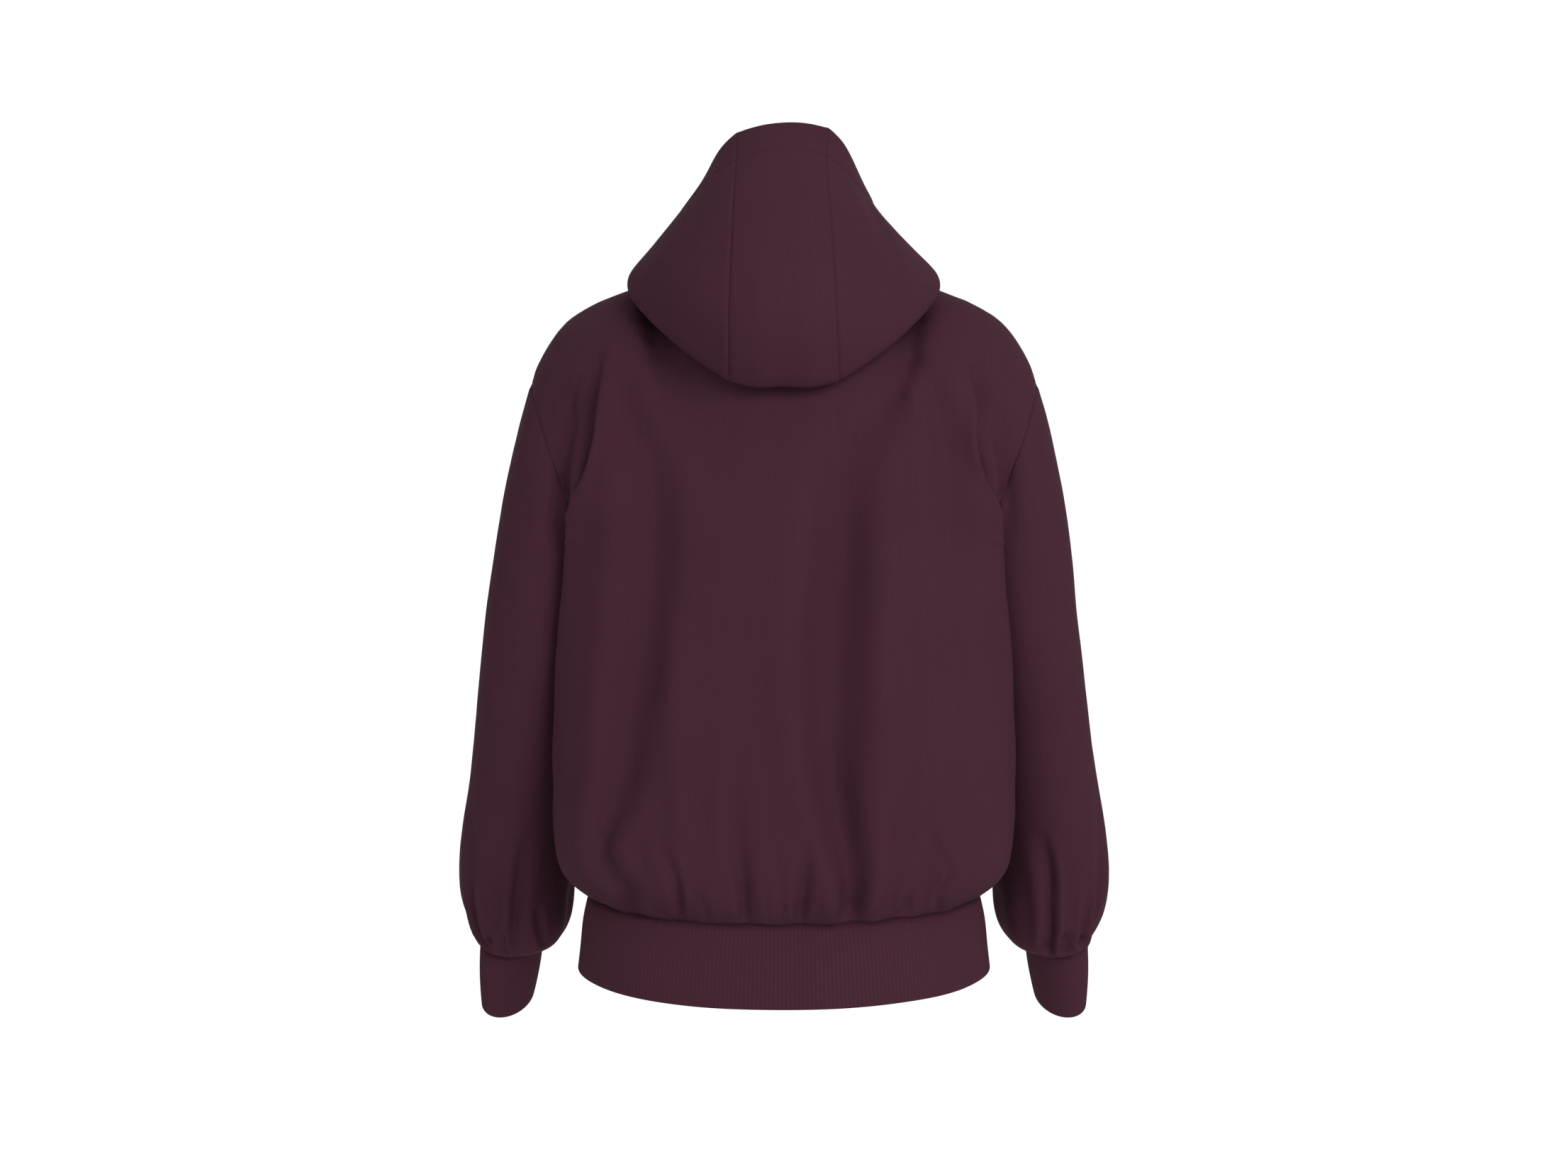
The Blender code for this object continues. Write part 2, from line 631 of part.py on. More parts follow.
def sleeve_points(loop):
    """Outer points of the left sleeve before its tucks: the cap, then its rings."""
    count = len(loop)
    angles = np.arange(count) * 360.0 / count
    first = sleeve_ring(SLEEVE_RINGS[0], angles)
    second = sleeve_ring(SLEEVE_RINGS[0] - 1.0, angles)
    arrive = second - first
    arrive /= np.linalg.norm(arrive, axis=1, keepdims=True)
    leave = np.tile(np.array([CAP_SPREAD, 0.0, -1.0]), (count, 1))
    leave[:, 1] = CAP_FULLNESS * np.sin(np.radians(angles))
    leave /= np.linalg.norm(leave, axis=1, keepdims=True)
    chord = np.linalg.norm(first - loop, axis=1, keepdims=True) * CAP_PULL
    rows = [loop]
    for share in np.linspace(0, 1, CAP_RINGS + 1)[1:-1]:
        rows.append(hermite(loop, leave * chord, first, arrive * chord, share))
    rows.append(first)
    for height in SLEEVE_RINGS[1:]:
        rows.append(sleeve_ring(height, angles))
    return np.array(rows)


def tuck_depth(points, tucks):
    """How far the sleeve sinks at each point for its tucks and creases."""
    count = points.shape[1]
    angles = np.arange(count) * 360.0 / count
    height = points[..., 2]
    depth = np.zeros(height.shape)
    for angle, low, top, sink, half_width in tucks:
        away = (angles - angle + 180) % 360 - 180
        share = (height - low) / (top - low)
        foot = 0.25 + 0.75 * ease(share * 5) if low == SLEEVE_RINGS[-1] else ease(share * 3)
        depth += sink * foot * ease((1 - share) * 1.5) * np.exp(-((away / half_width) ** 2))
    depth[: CAP_RINGS + 1] *= (np.arange(CAP_RINGS + 1) / (CAP_RINGS + 1))[:, None] ** 2
    return depth


def folded_sleeve(points, tucks):
    """Outer points of a sleeve with its tucks; the armhole and cuff seams stay put."""
    middle = len(points) // 2
    normals = grid_normals(points, True, (middle, 0), (1, 0, 0))
    return points - normals * tuck_depth(points, tucks)[..., None]


def cuff_points(seam):
    """Outer points of the left cuff, from the sleeve's seam to its end."""
    centre = seam.mean(axis=0)
    ring = seam - centre
    rows = []
    for share in np.linspace(0, 1, CUFF_ROWS + 1):
        size = 1 - CUFF_END_NARROWING * share + CUFF_FULLNESS * math.sin(math.pi * share)
        row = centre + ring * size + np.array(CUFF_END_SHIFT) * share
        row[:, 2] -= CUFF_END_LEAN * share * ring[:, 1]
        rows.append(row)
    return np.array(rows)


def band_points(top):
    """Outer points of the hem band, gathered at the body's seam and even at its free edge."""
    even = top
    for _ in range(BAND_EVENING):
        even = (np.roll(even, 1, axis=0) + 2 * even + np.roll(even, -1, axis=0)) / 4
    flat = even - np.array([0.0, BAND_CENTRE, 0.0])
    plan = np.linalg.norm(flat[:, :2], axis=1, keepdims=True)
    outward = np.concatenate([flat[:, :2] / plan, np.zeros((len(top), 1))], axis=1)
    rows = []
    for share in np.linspace(0, 1, BAND_ROWS + 1):
        ring = top + (even - top) * ease(share * 2)
        down = np.array([0.0, 0.0, -BAND_HEIGHT * share])
        spread = BAND_TURN * ease(share * 3) + (BAND_SPREAD - BAND_TURN) * share
        rows.append(ring + outward * spread + down)
    return np.array(rows)


def rounded(points, rounds):
    """The points inside a grid moved toward their neighbours, a few times over."""
    out = points.copy()
    for _ in range(rounds):
        beside = out[1:-1, :-2] + out[1:-1, 2:] + out[:-2, 1:-1] + out[2:, 1:-1]
        out[1:-1, 1:-1] += (beside / 4 - out[1:-1, 1:-1]) * 0.5
    return out


def round_fold(points):
    """A section of the hood with a point added on each side of its fold, to keep it round."""
    before, fold, after = points[FOLD_PLACE - 1: FOLD_PLACE + 2]
    under = (before - fold) / np.linalg.norm(before - fold)
    over = (after - fold) / np.linalg.norm(after - fold)
    nearest = min(np.linalg.norm(before - fold), np.linalg.norm(after - fold))
    radius = min(FOLD_RADIUS, 0.4 * nearest)
    spread = (under - over) / np.linalg.norm(under - over)
    inward = (under + over) / 2
    low = fold + radius * (inward + spread)
    high = fold + radius * (inward - spread)
    return np.concatenate([points[:FOLD_PLACE], [low, fold, high], points[FOLD_PLACE + 1:]])


def hood_half(neck, lean):
    """Outer points of half the hood: a column for each point of the neck seam."""
    sections = []
    for row, share in zip(HOOD_SECTIONS, RIGHT_HOOD_SHARES):
        points = [neck[row[0]]] + [np.array(point, dtype=float) for point in row[1:]]
        shift = [(-narrower, 0.0, higher) for narrower, higher in RIGHT_HOOD_LEAN]
        sections.append(round_fold(np.array(points) + np.array(shift) * share * lean))
    sections = np.array(sections)
    places = column(HOOD_SECTIONS, HOOD_COLUMNS, "neck_column")
    guides = []
    for guide in range(sections.shape[1]):
        if guide == 0:
            guides.append(neck)
        else:
            guides.append(through(places, sections[:, guide], np.arange(len(neck))))
    guides = np.array(guides)
    out = []
    for place in range(len(neck)):
        run = guides[:, place]
        steps = np.linalg.norm(np.diff(run, axis=0), axis=1) ** 0.5
        knots = np.concatenate(([0.0], np.cumsum(steps)))
        at = [knots[0]]
        for span, count in enumerate(HOOD_SPANS):
            at.extend(np.linspace(knots[span], knots[span + 1], count + 1)[1:])
        out.append(through(knots, run, at))
    return np.swapaxes(np.array(out), 0, 1)


def piece(points, normals, closed):
    """A piece of cloth: its outer points, their normals, and room for what its seams do."""
    return {
        "points": points,
        "normals": normals,
        "closed": closed,
        "shift": np.zeros(points.shape),
        "seam_normals": np.zeros(points.shape),
    }


def row_edge(row, columns):
    """The places of a top or bottom edge, in order, and the row inside it."""
    columns = np.asarray(columns)
    return np.full(len(columns), row), columns, (1 if row == 0 else -1, 0)


def column_edge(rows, column):
    """The places of a side edge, in order, and the column inside it."""
    rows = np.asarray(rows)
    return rows, np.full(len(rows), column), (0, 1 if column == 0 else -1)


def leaving(cloth_piece, edge):
    """The directions in which a piece leaves its seam, square to the seam."""
    points = cloth_piece["points"]
    rows, columns, (down, across) = edge
    at = points[rows, columns]
    along = np.gradient(at, axis=0)
    along /= np.linalg.norm(along, axis=1, keepdims=True)
    way = np.zeros(at.shape)
    for step in (-1, 0, 1):
        inner_rows = np.clip(rows + down + step * abs(across), 0, points.shape[0] - 1)
        inner_columns = columns + across + step * abs(down)
        if cloth_piece["closed"]:
            inner_columns = inner_columns % points.shape[1]
        inner_columns = np.clip(inner_columns, 0, points.shape[1] - 1)
        way += points[inner_rows, inner_columns] - at
    way -= np.sum(way * along, axis=1, keepdims=True) * along
    return way / np.linalg.norm(way, axis=1, keepdims=True)


def sew(first, first_edge, second, second_edge):
    """Draw two pieces back from the seam they share and note the seam's common normals."""
    first_way = leaving(first, first_edge)
    second_way = leaving(second, second_edge)
    first_at = first_edge[:2]
    second_at = second_edge[:2]
    first_out = first["normals"][first_at]
    second_out = second["normals"][second_at]
    crease = np.sum(first_out * second_way + second_out * first_way, axis=1, keepdims=True)
    crease = np.clip(crease, -1, 1)
    apart = (first_way - second_way) + crease * (second_out - first_out)
    apart *= SEAM_GAP / 2 / np.linalg.norm(apart, axis=1, keepdims=True)
    common = first_out + second_out + crease * (first_way + second_way)
    for cloth_piece, at, side in ((first, first_at, 1), (second, second_at, -1)):
        np.add.at(cloth_piece["shift"], at, apart * side)
        np.add.at(cloth_piece["seam_normals"], at, common)


def settle_seams(pieces):
    """Give all the pieces that meet at a point of a seam the same normal there."""
    totals = {}
    for cloth_piece in pieces:
        size = np.linalg.norm(cloth_piece["seam_normals"], axis=2)
        for place in zip(*np.nonzero(size)):
            key = tuple(np.round(cloth_piece["points"][place], 2))
            totals[key] = totals.get(key, 0) + cloth_piece["seam_normals"][place]
    for cloth_piece in pieces:
        size = np.linalg.norm(cloth_piece["seam_normals"], axis=2)
        for place in zip(*np.nonzero(size)):
            total = totals[tuple(np.round(cloth_piece["points"][place], 2))]
            cloth_piece["normals"][place] = total / np.linalg.norm(total)
        cloth_piece["points"] = cloth_piece["points"] + cloth_piece["shift"]


def wall(name, cloth_piece, thickness, material, home):
    """One closed solid between a piece's outer points and the same points moved in."""
    points = cloth_piece["points"]
    closed = cloth_piece["closed"]
    rows, columns = points.shape[:2]
    inner = points - cloth_piece["normals"] * thickness
    mesh = bpy.data.meshes.new(name)
    shape = bmesh.new()
    outside = [[shape.verts.new(point * CM) for point in row] for row in points]
    inside = [[shape.verts.new(point * CM) for point in row] for row in inner]
    last = columns if closed else columns - 1

    def add(corners):
        """Two triangles, split along the shorter diagonal of the outer points."""
        first, second, third, fourth = (points[corner] for corner in corners)
        turn = 0 if np.linalg.norm(first - third) <= np.linalg.norm(second - fourth) else 1
        order = corners[turn:] + corners[:turn]
        for three in ((order[0], order[1], order[2]), (order[0], order[2], order[3])):
            shape.faces.new([outside[row][place] for row, place in three])
            shape.faces.new([inside[row][place] for row, place in reversed(three)])

    def rim(start, end):
        """The edge of the cloth between two of its outer points."""
        shape.faces.new((
            outside[end[0]][end[1]],
            outside[start[0]][start[1]],
            inside[start[0]][start[1]],
            inside[end[0]][end[1]],
        ))

    for place in range(last):
        after = (place + 1) % columns
        for row in range(rows - 1):
            add(((row, place), (row, after), (row + 1, after), (row + 1, place)))
        rim((0, place), (0, after))
        rim((rows - 1, after), (rows - 1, place))
    if not closed:
        for row in range(rows - 1):
            rim((row + 1, 0), (row, 0))
            rim((row, columns - 1), (row + 1, columns - 1))
    if shape.calc_volume(signed=True) < 0:
        bmesh.ops.reverse_faces(shape, faces=shape.faces[:])
    shape.to_mesh(mesh)
    shape.free()
    mesh.shade_smooth()
    mesh.set_sharp_from_angle(angle=math.radians(50))
    solid = bpy.data.objects.new(name, mesh)
    solid.data.materials.append(material)
    home.objects.link(solid)


def linear(value):
    """An sRGB value as a linear one."""
    return value / 12.92 if value <= 0.04045 else ((value + 0.055) / 1.055) ** 2.4


def cloth(name, colour):
    """A matt cloth of one colour."""
    material = bpy.data.materials.new(name)
    material.use_nodes = True
    shader = material.node_tree.nodes["Principled BSDF"]
    shader.inputs["Base Color"].default_value = [linear(value) for value in colour] + [1.0]
    shader.inputs["Roughness"].default_value = ROUGHNESS
    shader.inputs["Metallic"].default_value = 0.0
    return material


def sew_body(pieces):
    """Shoulder seams, side seams and the hem band's seam."""
    back = pieces["back"]
    front = pieces["front"]
    band = pieces["hem_band"]
    back_width = back["points"].shape[1]
    front_width = front["points"].shape[1]
    rows = back["points"].shape[0]
    shoulder = np.arange(SHOULDER_COLUMNS + 1)
    sew(back, row_edge(0, shoulder), front, row_edge(0, shoulder))
    sew(back, row_edge(0, back_width - 1 - shoulder), front, row_edge(0, front_width - 1 - shoulder))
    side = np.arange(ARMHOLE_ROWS, rows)
    sew(back, column_edge(side, 0), front, column_edge(side, 0))
    sew(back, column_edge(side, back_width - 1), front, column_edge(side, front_width - 1))
    for cloth_piece in (back, front):
        cloth_piece["seam_normals"][ARMHOLE_ROWS, [0, -1]] = 0
    across = np.arange(back_width)
    sew(back, row_edge(rows - 1, across), band, row_edge(0, across))
    across = np.concatenate([np.arange(back_width - 1, band["points"].shape[1]), [0]])
    sew(front, row_edge(rows - 1, np.arange(front_width)[::-1]), band, row_edge(0, across))


def sew_sleeves(pieces):
    """The armholes and the cuffs' seams."""
    down = np.arange(ARMHOLE_ROWS + 1)
    for side, first in (("left", True), ("right", False)):
        sleeve = pieces["sleeve_" + side]
        cuff = pieces["cuff_" + side]
        count = sleeve["points"].shape[1]
        for name, places in (("back", down), ("front", (count - down) % count)):
            body = pieces[name]
            edge = 0 if first else body["points"].shape[1] - 1
            sew(body, column_edge(down, edge), sleeve, row_edge(0, places))
        around = np.arange(count)
        last = sleeve["points"].shape[0] - 1
        sew(sleeve, row_edge(last, around), cuff, row_edge(0, around))


def sew_hood(pieces):
    """The hood's seams to its centre strip, and its neck seam to the back and the front."""
    centre = pieces["hood_centre"]
    rows = np.arange(centre["points"].shape[0])
    strip = centre["points"].shape[1] - 1
    sides = pieces["hood_left"]["points"].shape[1] - 1
    sew(pieces["hood_left"], column_edge(rows, sides), centre, column_edge(rows, 0))
    sew(centre, column_edge(rows, strip), pieces["hood_right"], column_edge(rows, 0))
    back = pieces["back"]
    front = pieces["front"]
    back_middle = back["points"].shape[1] // 2
    front_middle = front["points"].shape[1] // 2
    half = strip // 2
    steps = np.arange(strip + 1)
    sew(centre, row_edge(0, steps), back, row_edge(0, back_middle - half + steps))
    back_steps = np.arange(half, back_middle - SHOULDER_COLUMNS + 1)
    front_steps = np.arange(front_middle - SHOULDER_COLUMNS + 1)
    for name, way in (("hood_left", -1), ("hood_right", 1)):
        hood = pieces[name]
        at_back = back_steps - half
        at_front = sides - front_steps
        if way < 0:
            at_back = sides - at_back
            at_front = front_steps
        sew(hood, row_edge(0, at_back), back, row_edge(0, back_middle + way * back_steps))
        sew(hood, row_edge(0, at_front), front, row_edge(0, front_middle + way * front_steps))


def cut_pieces():
    """Every piece of the sweatshirt by its name, sewn to its neighbours."""
    back = folded_panel(1)
    front = folded_panel(-1)
    back_middle = back.shape[1] // 2
    front_middle = front.shape[1] // 2
    plain = sleeve_points(armhole(back, front))
    left = folded_sleeve(plain, TUCKS_LEFT)
    right = mirrored(folded_sleeve(plain, TUCKS_RIGHT))
    ring = np.concatenate([back[-1], front[-1, -2:0:-1]])
    beside = front[0, front_middle - 1]
    centre = front[0, front_middle]
    neck = np.concatenate([
        back[0, SHOULDER_COLUMNS: back_middle + 1][::-1],
        front[0, SHOULDER_COLUMNS + 1: front_middle],
        [centre + (beside - centre) * CENTRE_FRONT_GAP / beside[0]],
    ])
    hood = np.concatenate(
        [hood_half(neck, 0.0)[:, ::-1], mirrored(hood_half(neck, 1.0))[:, 1:]], axis=1
    )
    hood = rounded(hood, HOOD_ROUNDING)
    strip = HOOD_SECTIONS[1][0]
    middle = len(neck) - 1

    hood_normals = grid_normals(hood, False, (14, middle), (0, 1, 0))

    def panel_piece(points, side):
        """The back or the front, facing out at the middle of its twelfth row."""
        return piece(points, grid_normals(points, False, (12, points.shape[1] // 2), (0, side, 0)), False)

    def tube_piece(points, side):
        """A sleeve or a cuff, facing out at the outer side of its second row."""
        return piece(points, grid_normals(points, True, (1, 0), (side, 0, 0)), True)

    def hood_piece(first, final):
        """The columns of the hood that are cut as one piece."""
        columns = slice(first, final + 1)
        return piece(hood[:, columns], hood_normals[:, columns].copy(), False)

    band = band_points(ring)
    pieces = {
        "back": panel_piece(back, 1),
        "front": panel_piece(front, -1),
        "sleeve_left": tube_piece(left, 1),
        "sleeve_right": tube_piece(right, -1),
        "cuff_left": tube_piece(cuff_points(left[-1]), 1),
        "cuff_right": tube_piece(mirrored(cuff_points(mirrored(right[-1]))), -1),
        "hem_band": piece(band, grid_normals(band, True, (1, back_middle), (0, 1, 0)), True),
        "hood_left": hood_piece(0, middle - strip),
        "hood_centre": hood_piece(middle - strip, middle + strip),
        "hood_right": hood_piece(middle + strip, 2 * middle),
    }
    sew_body(pieces)
    sew_sleeves(pieces)
    sew_hood(pieces)
    settle_seams(list(pieces.values()))
    return pieces


def build():
    """Make every piece of the sweatshirt as a solid of its own."""
    for old in list(bpy.data.objects):
        bpy.data.objects.remove(old, do_unlink=True)
    home = bpy.data.collections.new("hooded_sweatshirt")
    bpy.context.scene.collection.children.link(home)
    fleece = cloth("brushed_fleece", FLEECE_COLOUR)
    hood_cloth = cloth("hood_fleece", HOOD_COLOUR)
    rib = cloth("rib_knit", RIB_COLOUR)
    for name, cloth_piece in cut_pieces().items():
        if name.startswith("hood"):
            wall(name, cloth_piece, HOOD_WALL, hood_cloth, home)
        elif name.startswith("cuff") or name == "hem_band":
            wall(name, cloth_piece, RIB_WALL, rib, home)
        else:
            wall(name, cloth_piece, FLEECE_WALL, fleece, home)


build()
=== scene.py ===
# %% [markdown]
# A hooded sweatshirt, worn and hollow, seen from behind with its hood down. The imported model
# gives every cut piece as a plain wall of cloth. This lesson makes each one fine cloth, with
# creases placed one by one, seams, stitches and knitted materials. All is in metres, in the
# model's frame: the wearer faces -Y, and the origin is the centre of the neck opening.

# %% Load the frame
import heapq
import itertools
import math
from collections import Counter, defaultdict, namedtuple
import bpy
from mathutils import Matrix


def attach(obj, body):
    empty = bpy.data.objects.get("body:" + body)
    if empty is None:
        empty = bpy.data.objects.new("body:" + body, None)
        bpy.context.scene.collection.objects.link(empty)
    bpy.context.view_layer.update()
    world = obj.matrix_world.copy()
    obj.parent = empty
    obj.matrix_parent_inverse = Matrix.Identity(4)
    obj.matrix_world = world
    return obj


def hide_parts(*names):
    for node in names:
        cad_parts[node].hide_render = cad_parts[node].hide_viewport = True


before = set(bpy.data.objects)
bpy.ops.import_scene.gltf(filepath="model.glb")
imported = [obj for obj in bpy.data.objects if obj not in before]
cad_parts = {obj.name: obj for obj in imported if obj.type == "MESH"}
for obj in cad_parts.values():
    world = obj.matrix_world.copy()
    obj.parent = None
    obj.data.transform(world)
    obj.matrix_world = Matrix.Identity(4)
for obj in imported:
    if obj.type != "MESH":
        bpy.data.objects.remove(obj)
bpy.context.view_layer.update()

from types import SimpleNamespace

import bmesh
import bpy
import numpy as np
from mathutils import Matrix, Vector, noise
from mathutils.bvhtree import BVHTree
from mathutils.kdtree import KDTree

MM = 0.001
CM = 0.01


def new_object(name, data):
    """A new object of some data, in the scene."""
    made = bpy.data.objects.new(name, data)
    bpy.context.scene.collection.objects.link(made)
    return made


def new_mesh(name, shape):
    """A new mesh of a bmesh, which is then freed."""
    mesh = bpy.data.meshes.new(name)
    shape.to_mesh(mesh)
    shape.free()
    return mesh


# %% [markdown]
# The garment is seen level from straight behind, so the camera stands on +Y and looks along
# -Y, as high as the middle of the picture. The lens follows from how large a centimetre looks.

# %% Camera
PICTURE_WIDTH_PX = 2212
PIXELS_PER_CM = 15.37
CAMERA_DISTANCE = 160 * CM
CAMERA_HEIGHT = -29.2 * CM
SENSOR_MM = 36.0
NEAREST_SEEN = 5 * CM

camera = bpy.data.cameras.new("camera")
camera.sensor_width = SENSOR_MM
camera.lens = SENSOR_MM * PIXELS_PER_CM * CAMERA_DISTANCE / CM / PICTURE_WIDTH_PX
camera.clip_start = NEAREST_SEEN
viewpoint = new_object("camera", camera)
viewpoint.location = (0, CAMERA_DISTANCE, CAMERA_HEIGHT)
viewpoint.rotation_euler = (math.radians(90), 0, math.radians(180))
bpy.context.scene.camera = viewpoint
print("lens", round(camera.lens, 1), "mm")

# %% [markdown]
# Each node is a closed wall: an outer skin, an inner skin and the rims between them. Only the
# outer skin is wanted, because a modifier thickens it again later. An edge that crosses the
# wall is exactly as long as the wall is thick, which gives the rims away. Without them the two
# skins fall apart, and the one nearest to a point outside the garment is the outer one.

# %% Take the outer skin of a wall
FLEECE_WALL = 2.0 * MM
HOOD_WALL = 1.5 * MM
RIB_WALL = 3.0 * MM
SAME_PLACE = 0.01 * MM
SAME_LENGTH = 0.002 * MM


def skin_of(node, wall, outside):
    """The outer skin of a node's wall, as a bmesh."""
    shape = bmesh.new()
    shape.from_mesh(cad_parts[node].data)
    bmesh.ops.remove_doubles(shape, verts=shape.verts[:], dist=SAME_PLACE)
    crossing = {edge for edge in shape.edges if abs(edge.calc_length() - wall) < SAME_LENGTH}
    rims = [face for face in shape.faces if any(edge in crossing for edge in face.edges)]
    bmesh.ops.delete(shape, geom=rims, context="FACES")
    tree = BVHTree.FromBMesh(shape)
    shape.faces.ensure_lookup_table()
    start = shape.faces[tree.find_nearest(Vector(outside))[2]]
    kept = {start}
    still_to_search = [start]
    while still_to_search:
        face = still_to_search.pop()
        for edge in face.edges:
            for other in edge.link_faces:
                if other not in kept:
                    kept.add(other)
                    still_to_search.append(other)
    bmesh.ops.delete(shape, geom=[face for face in shape.faces if face not in kept], context="FACES")
    return shape


# %% [markdown]
# Subdivision makes an even surface only of four-sided faces in rows and columns, but the skin
# is made of triangles. Blender's own joining judges each pair by its shape and goes wrong where
# cloth is sheared. So the joining starts at the corners, where only one pair is possible, and
# spreads to where a row most surely runs straight on, across the shorter diagonal.

# %% Join the triangles in rows
SURE = 2.0
ROUNDING = 1.001


def straight_on(before, at, after):
    """How straight a way runs through three points: 1 where it doesn't turn."""
    return (at.co - before.co).normalized().dot((after.co - at.co).normalized())


def tip(face, edge):
    """The corner of a triangle that isn't on one of its edges."""
    return next(vert for vert in face.verts if vert not in edge.verts)


def unevenness(edge):
    """How far from square the four-sided face is that an edge would cross."""
    (start, end), (one, other) = edge.verts, (tip(face, edge) for face in edge.link_faces)
    sides = [one.co - start.co, end.co - one.co, other.co - end.co, start.co - other.co]
    return sum(abs(a.normalized().dot(b.normalized())) for a, b in zip(sides, sides[1:] + sides[:1]))


def ways_past(alone, side, low, left, right, high):
    """The ways to join a pair past the side left to right of a face, the straightest last."""
    ways = []
    for face in alone.intersection(side.link_faces):
        top = tip(face, side)
        for here, there, under, beyond in ((left, right, low, high), (right, left, high, low)):
            crossed = next(edge for edge in face.edges if here in edge.verts and top in edge.verts)
            for mate in alone.intersection(crossed.link_faces) - {face}:
                far = tip(mate, crossed)
                if crossed.calc_length() <= ROUNDING * (there.co - far.co).length:
                    score = straight_on(under, here, far) + straight_on(beyond, there, top)
                    ways.append((score, face, mate, crossed, [here, there, top, far]))
    return sorted(ways, key=lambda way: way[0])


def join_in_rows(shape):
    """Join a skin's triangles to four-sided faces whose rows and columns run straight on."""
    alone = set(shape.faces)
    crossed = []
    waiting = []
    order = itertools.count()

    def take(face, mate, edge, ring):
        """Join a pair, and note how surely the rows go on past the sides of its ring of corners."""
        alone.difference_update({face, mate})
        crossed.append(edge)
        for turn in range(4):
            low, left, right, high = ring[turn - 1], ring[turn], ring[turn - 3], ring[turn - 2]
            side = next(link for link in left.link_edges if right in link.verts)
            past = ways_past(alone, side, low, left, right, high)
            if past:
                sure = past[-1][0] - past[-2][0] if len(past) > 1 else SURE
                heapq.heappush(waiting, (-sure, next(order), (side, low, left, right, high)))

    inner = [edge for edge in shape.edges if not edge.is_boundary]
    at_corners = [
        edge for edge in inner
        if any(sum(side.is_boundary for side in face.edges) == 2 for face in edge.link_faces)
    ]
    for edge in at_corners or [min(inner, key=unevenness)]:
        (start, end), (one, other) = edge.verts, edge.link_faces
        if {one, other} <= alone:
            take(one, other, edge, [start, tip(one, edge), end, tip(other, edge)])
    while waiting:
        past = ways_past(alone, *heapq.heappop(waiting)[2])
        if past:
            take(*past[-1][1:])
    bmesh.ops.dissolve_edges(shape, edges=crossed, use_verts=False)
    print(len(shape.faces), "four-sided faces,", len(alone), "triangles left")


# %% [markdown]
# A knitted pattern follows the cut piece and not the room. So each skin is laid flat, as its
# paper pattern would be, and the flat places, in metres, become its UV map, with V along the
# grain. A tube such as a sleeve is first cut open along its own seam.

# %% Lay a skin flat
def straight_across(vert):
    """The points of a net of quads, from one on its edge straight across to the other edge."""
    line = [vert]
    edge = next((link for link in vert.link_edges if not link.is_boundary), None)
    while edge is not None:
        vert = edge.other_vert(vert)
        line.append(vert)
        beside = set(edge.link_faces)
        ahead = [link for link in vert.link_edges if not beside & set(link.link_faces)]
        edge = ahead[0] if ahead and not vert.is_boundary else None
    return line


def cut_open(shape, toward):
    """Mark a seam from end to end of a tube, on the side that faces toward."""
    ends = [vert for vert in shape.verts if vert.is_boundary]
    line = straight_across(max(ends, key=lambda end: end.co.dot(Vector(toward))))
    for pair in zip(line, line[1:]):
        shape.edges.get(pair).seam = True


def lay_flat(carrier, grain):
    """Unwrap an object's mesh to a UV map in metres, with V along the grain."""
    bpy.context.view_layer.objects.active = carrier
    bpy.ops.object.mode_set(mode="EDIT")
    bpy.ops.mesh.select_all(action="SELECT")
    bpy.ops.uv.unwrap(method="ANGLE_BASED", margin=0.0)
    bpy.ops.object.mode_set(mode="OBJECT")
    mesh = carrier.data
    layer = mesh.uv_layers.active.data
    flat = np.empty(len(layer) * 2)
    layer.foreach_get("uv", flat)
    flat = flat.reshape(-1, 2)
    corners = np.array([loop.vertex_index for loop in mesh.loops])
    height = point_values(mesh, "co")[corners] @ np.array(grain, float)
    flat_area = 0.0
    for face in mesh.polygons:
        x, y = flat[face.loop_start : face.loop_start + face.loop_total].T
        flat_area += abs(np.dot(x, np.roll(y, 1)) - np.dot(y, np.roll(x, 1))) / 2
    flat *= math.sqrt(sum(face.area for face in mesh.polygons) / flat_area)
    slope = np.linalg.lstsq(np.c_[flat, np.ones(len(flat))], height, rcond=None)[0][:2]
    rise = slope / np.linalg.norm(slope)
    flat = np.c_[flat @ np.array([rise[1], -rise[0]]), flat @ rise]
    layer.foreach_set("uv", (flat - flat.min(0)).ravel())
    return flat.max(0) - flat.min(0)


# %% [markdown]
# Subdivision pulls a surface in from the points it is given. To keep the size, the points are
# pushed out by what the smooth surface misses them by, a few times over. Inside a piece they
# only go straight out of the cloth: close rows beside long ones would cross otherwise.

# %% Smooth a skin without shrinking it
FIT_ROUNDS = 4


def point_values(mesh, field):
    """The place, "co", or the facing, "normal", of every point of a mesh, as an array."""
    values = np.empty(len(mesh.vertices) * 3)
    mesh.vertices.foreach_get(field, values)
    return values.reshape(-1, 3)


def evaluated_copy(carrier):
    """A new mesh of what an object's modifiers make of it."""
    bpy.context.view_layer.update()
    return bpy.data.meshes.new_from_object(
        carrier.evaluated_get(bpy.context.evaluated_depsgraph_get())
    )


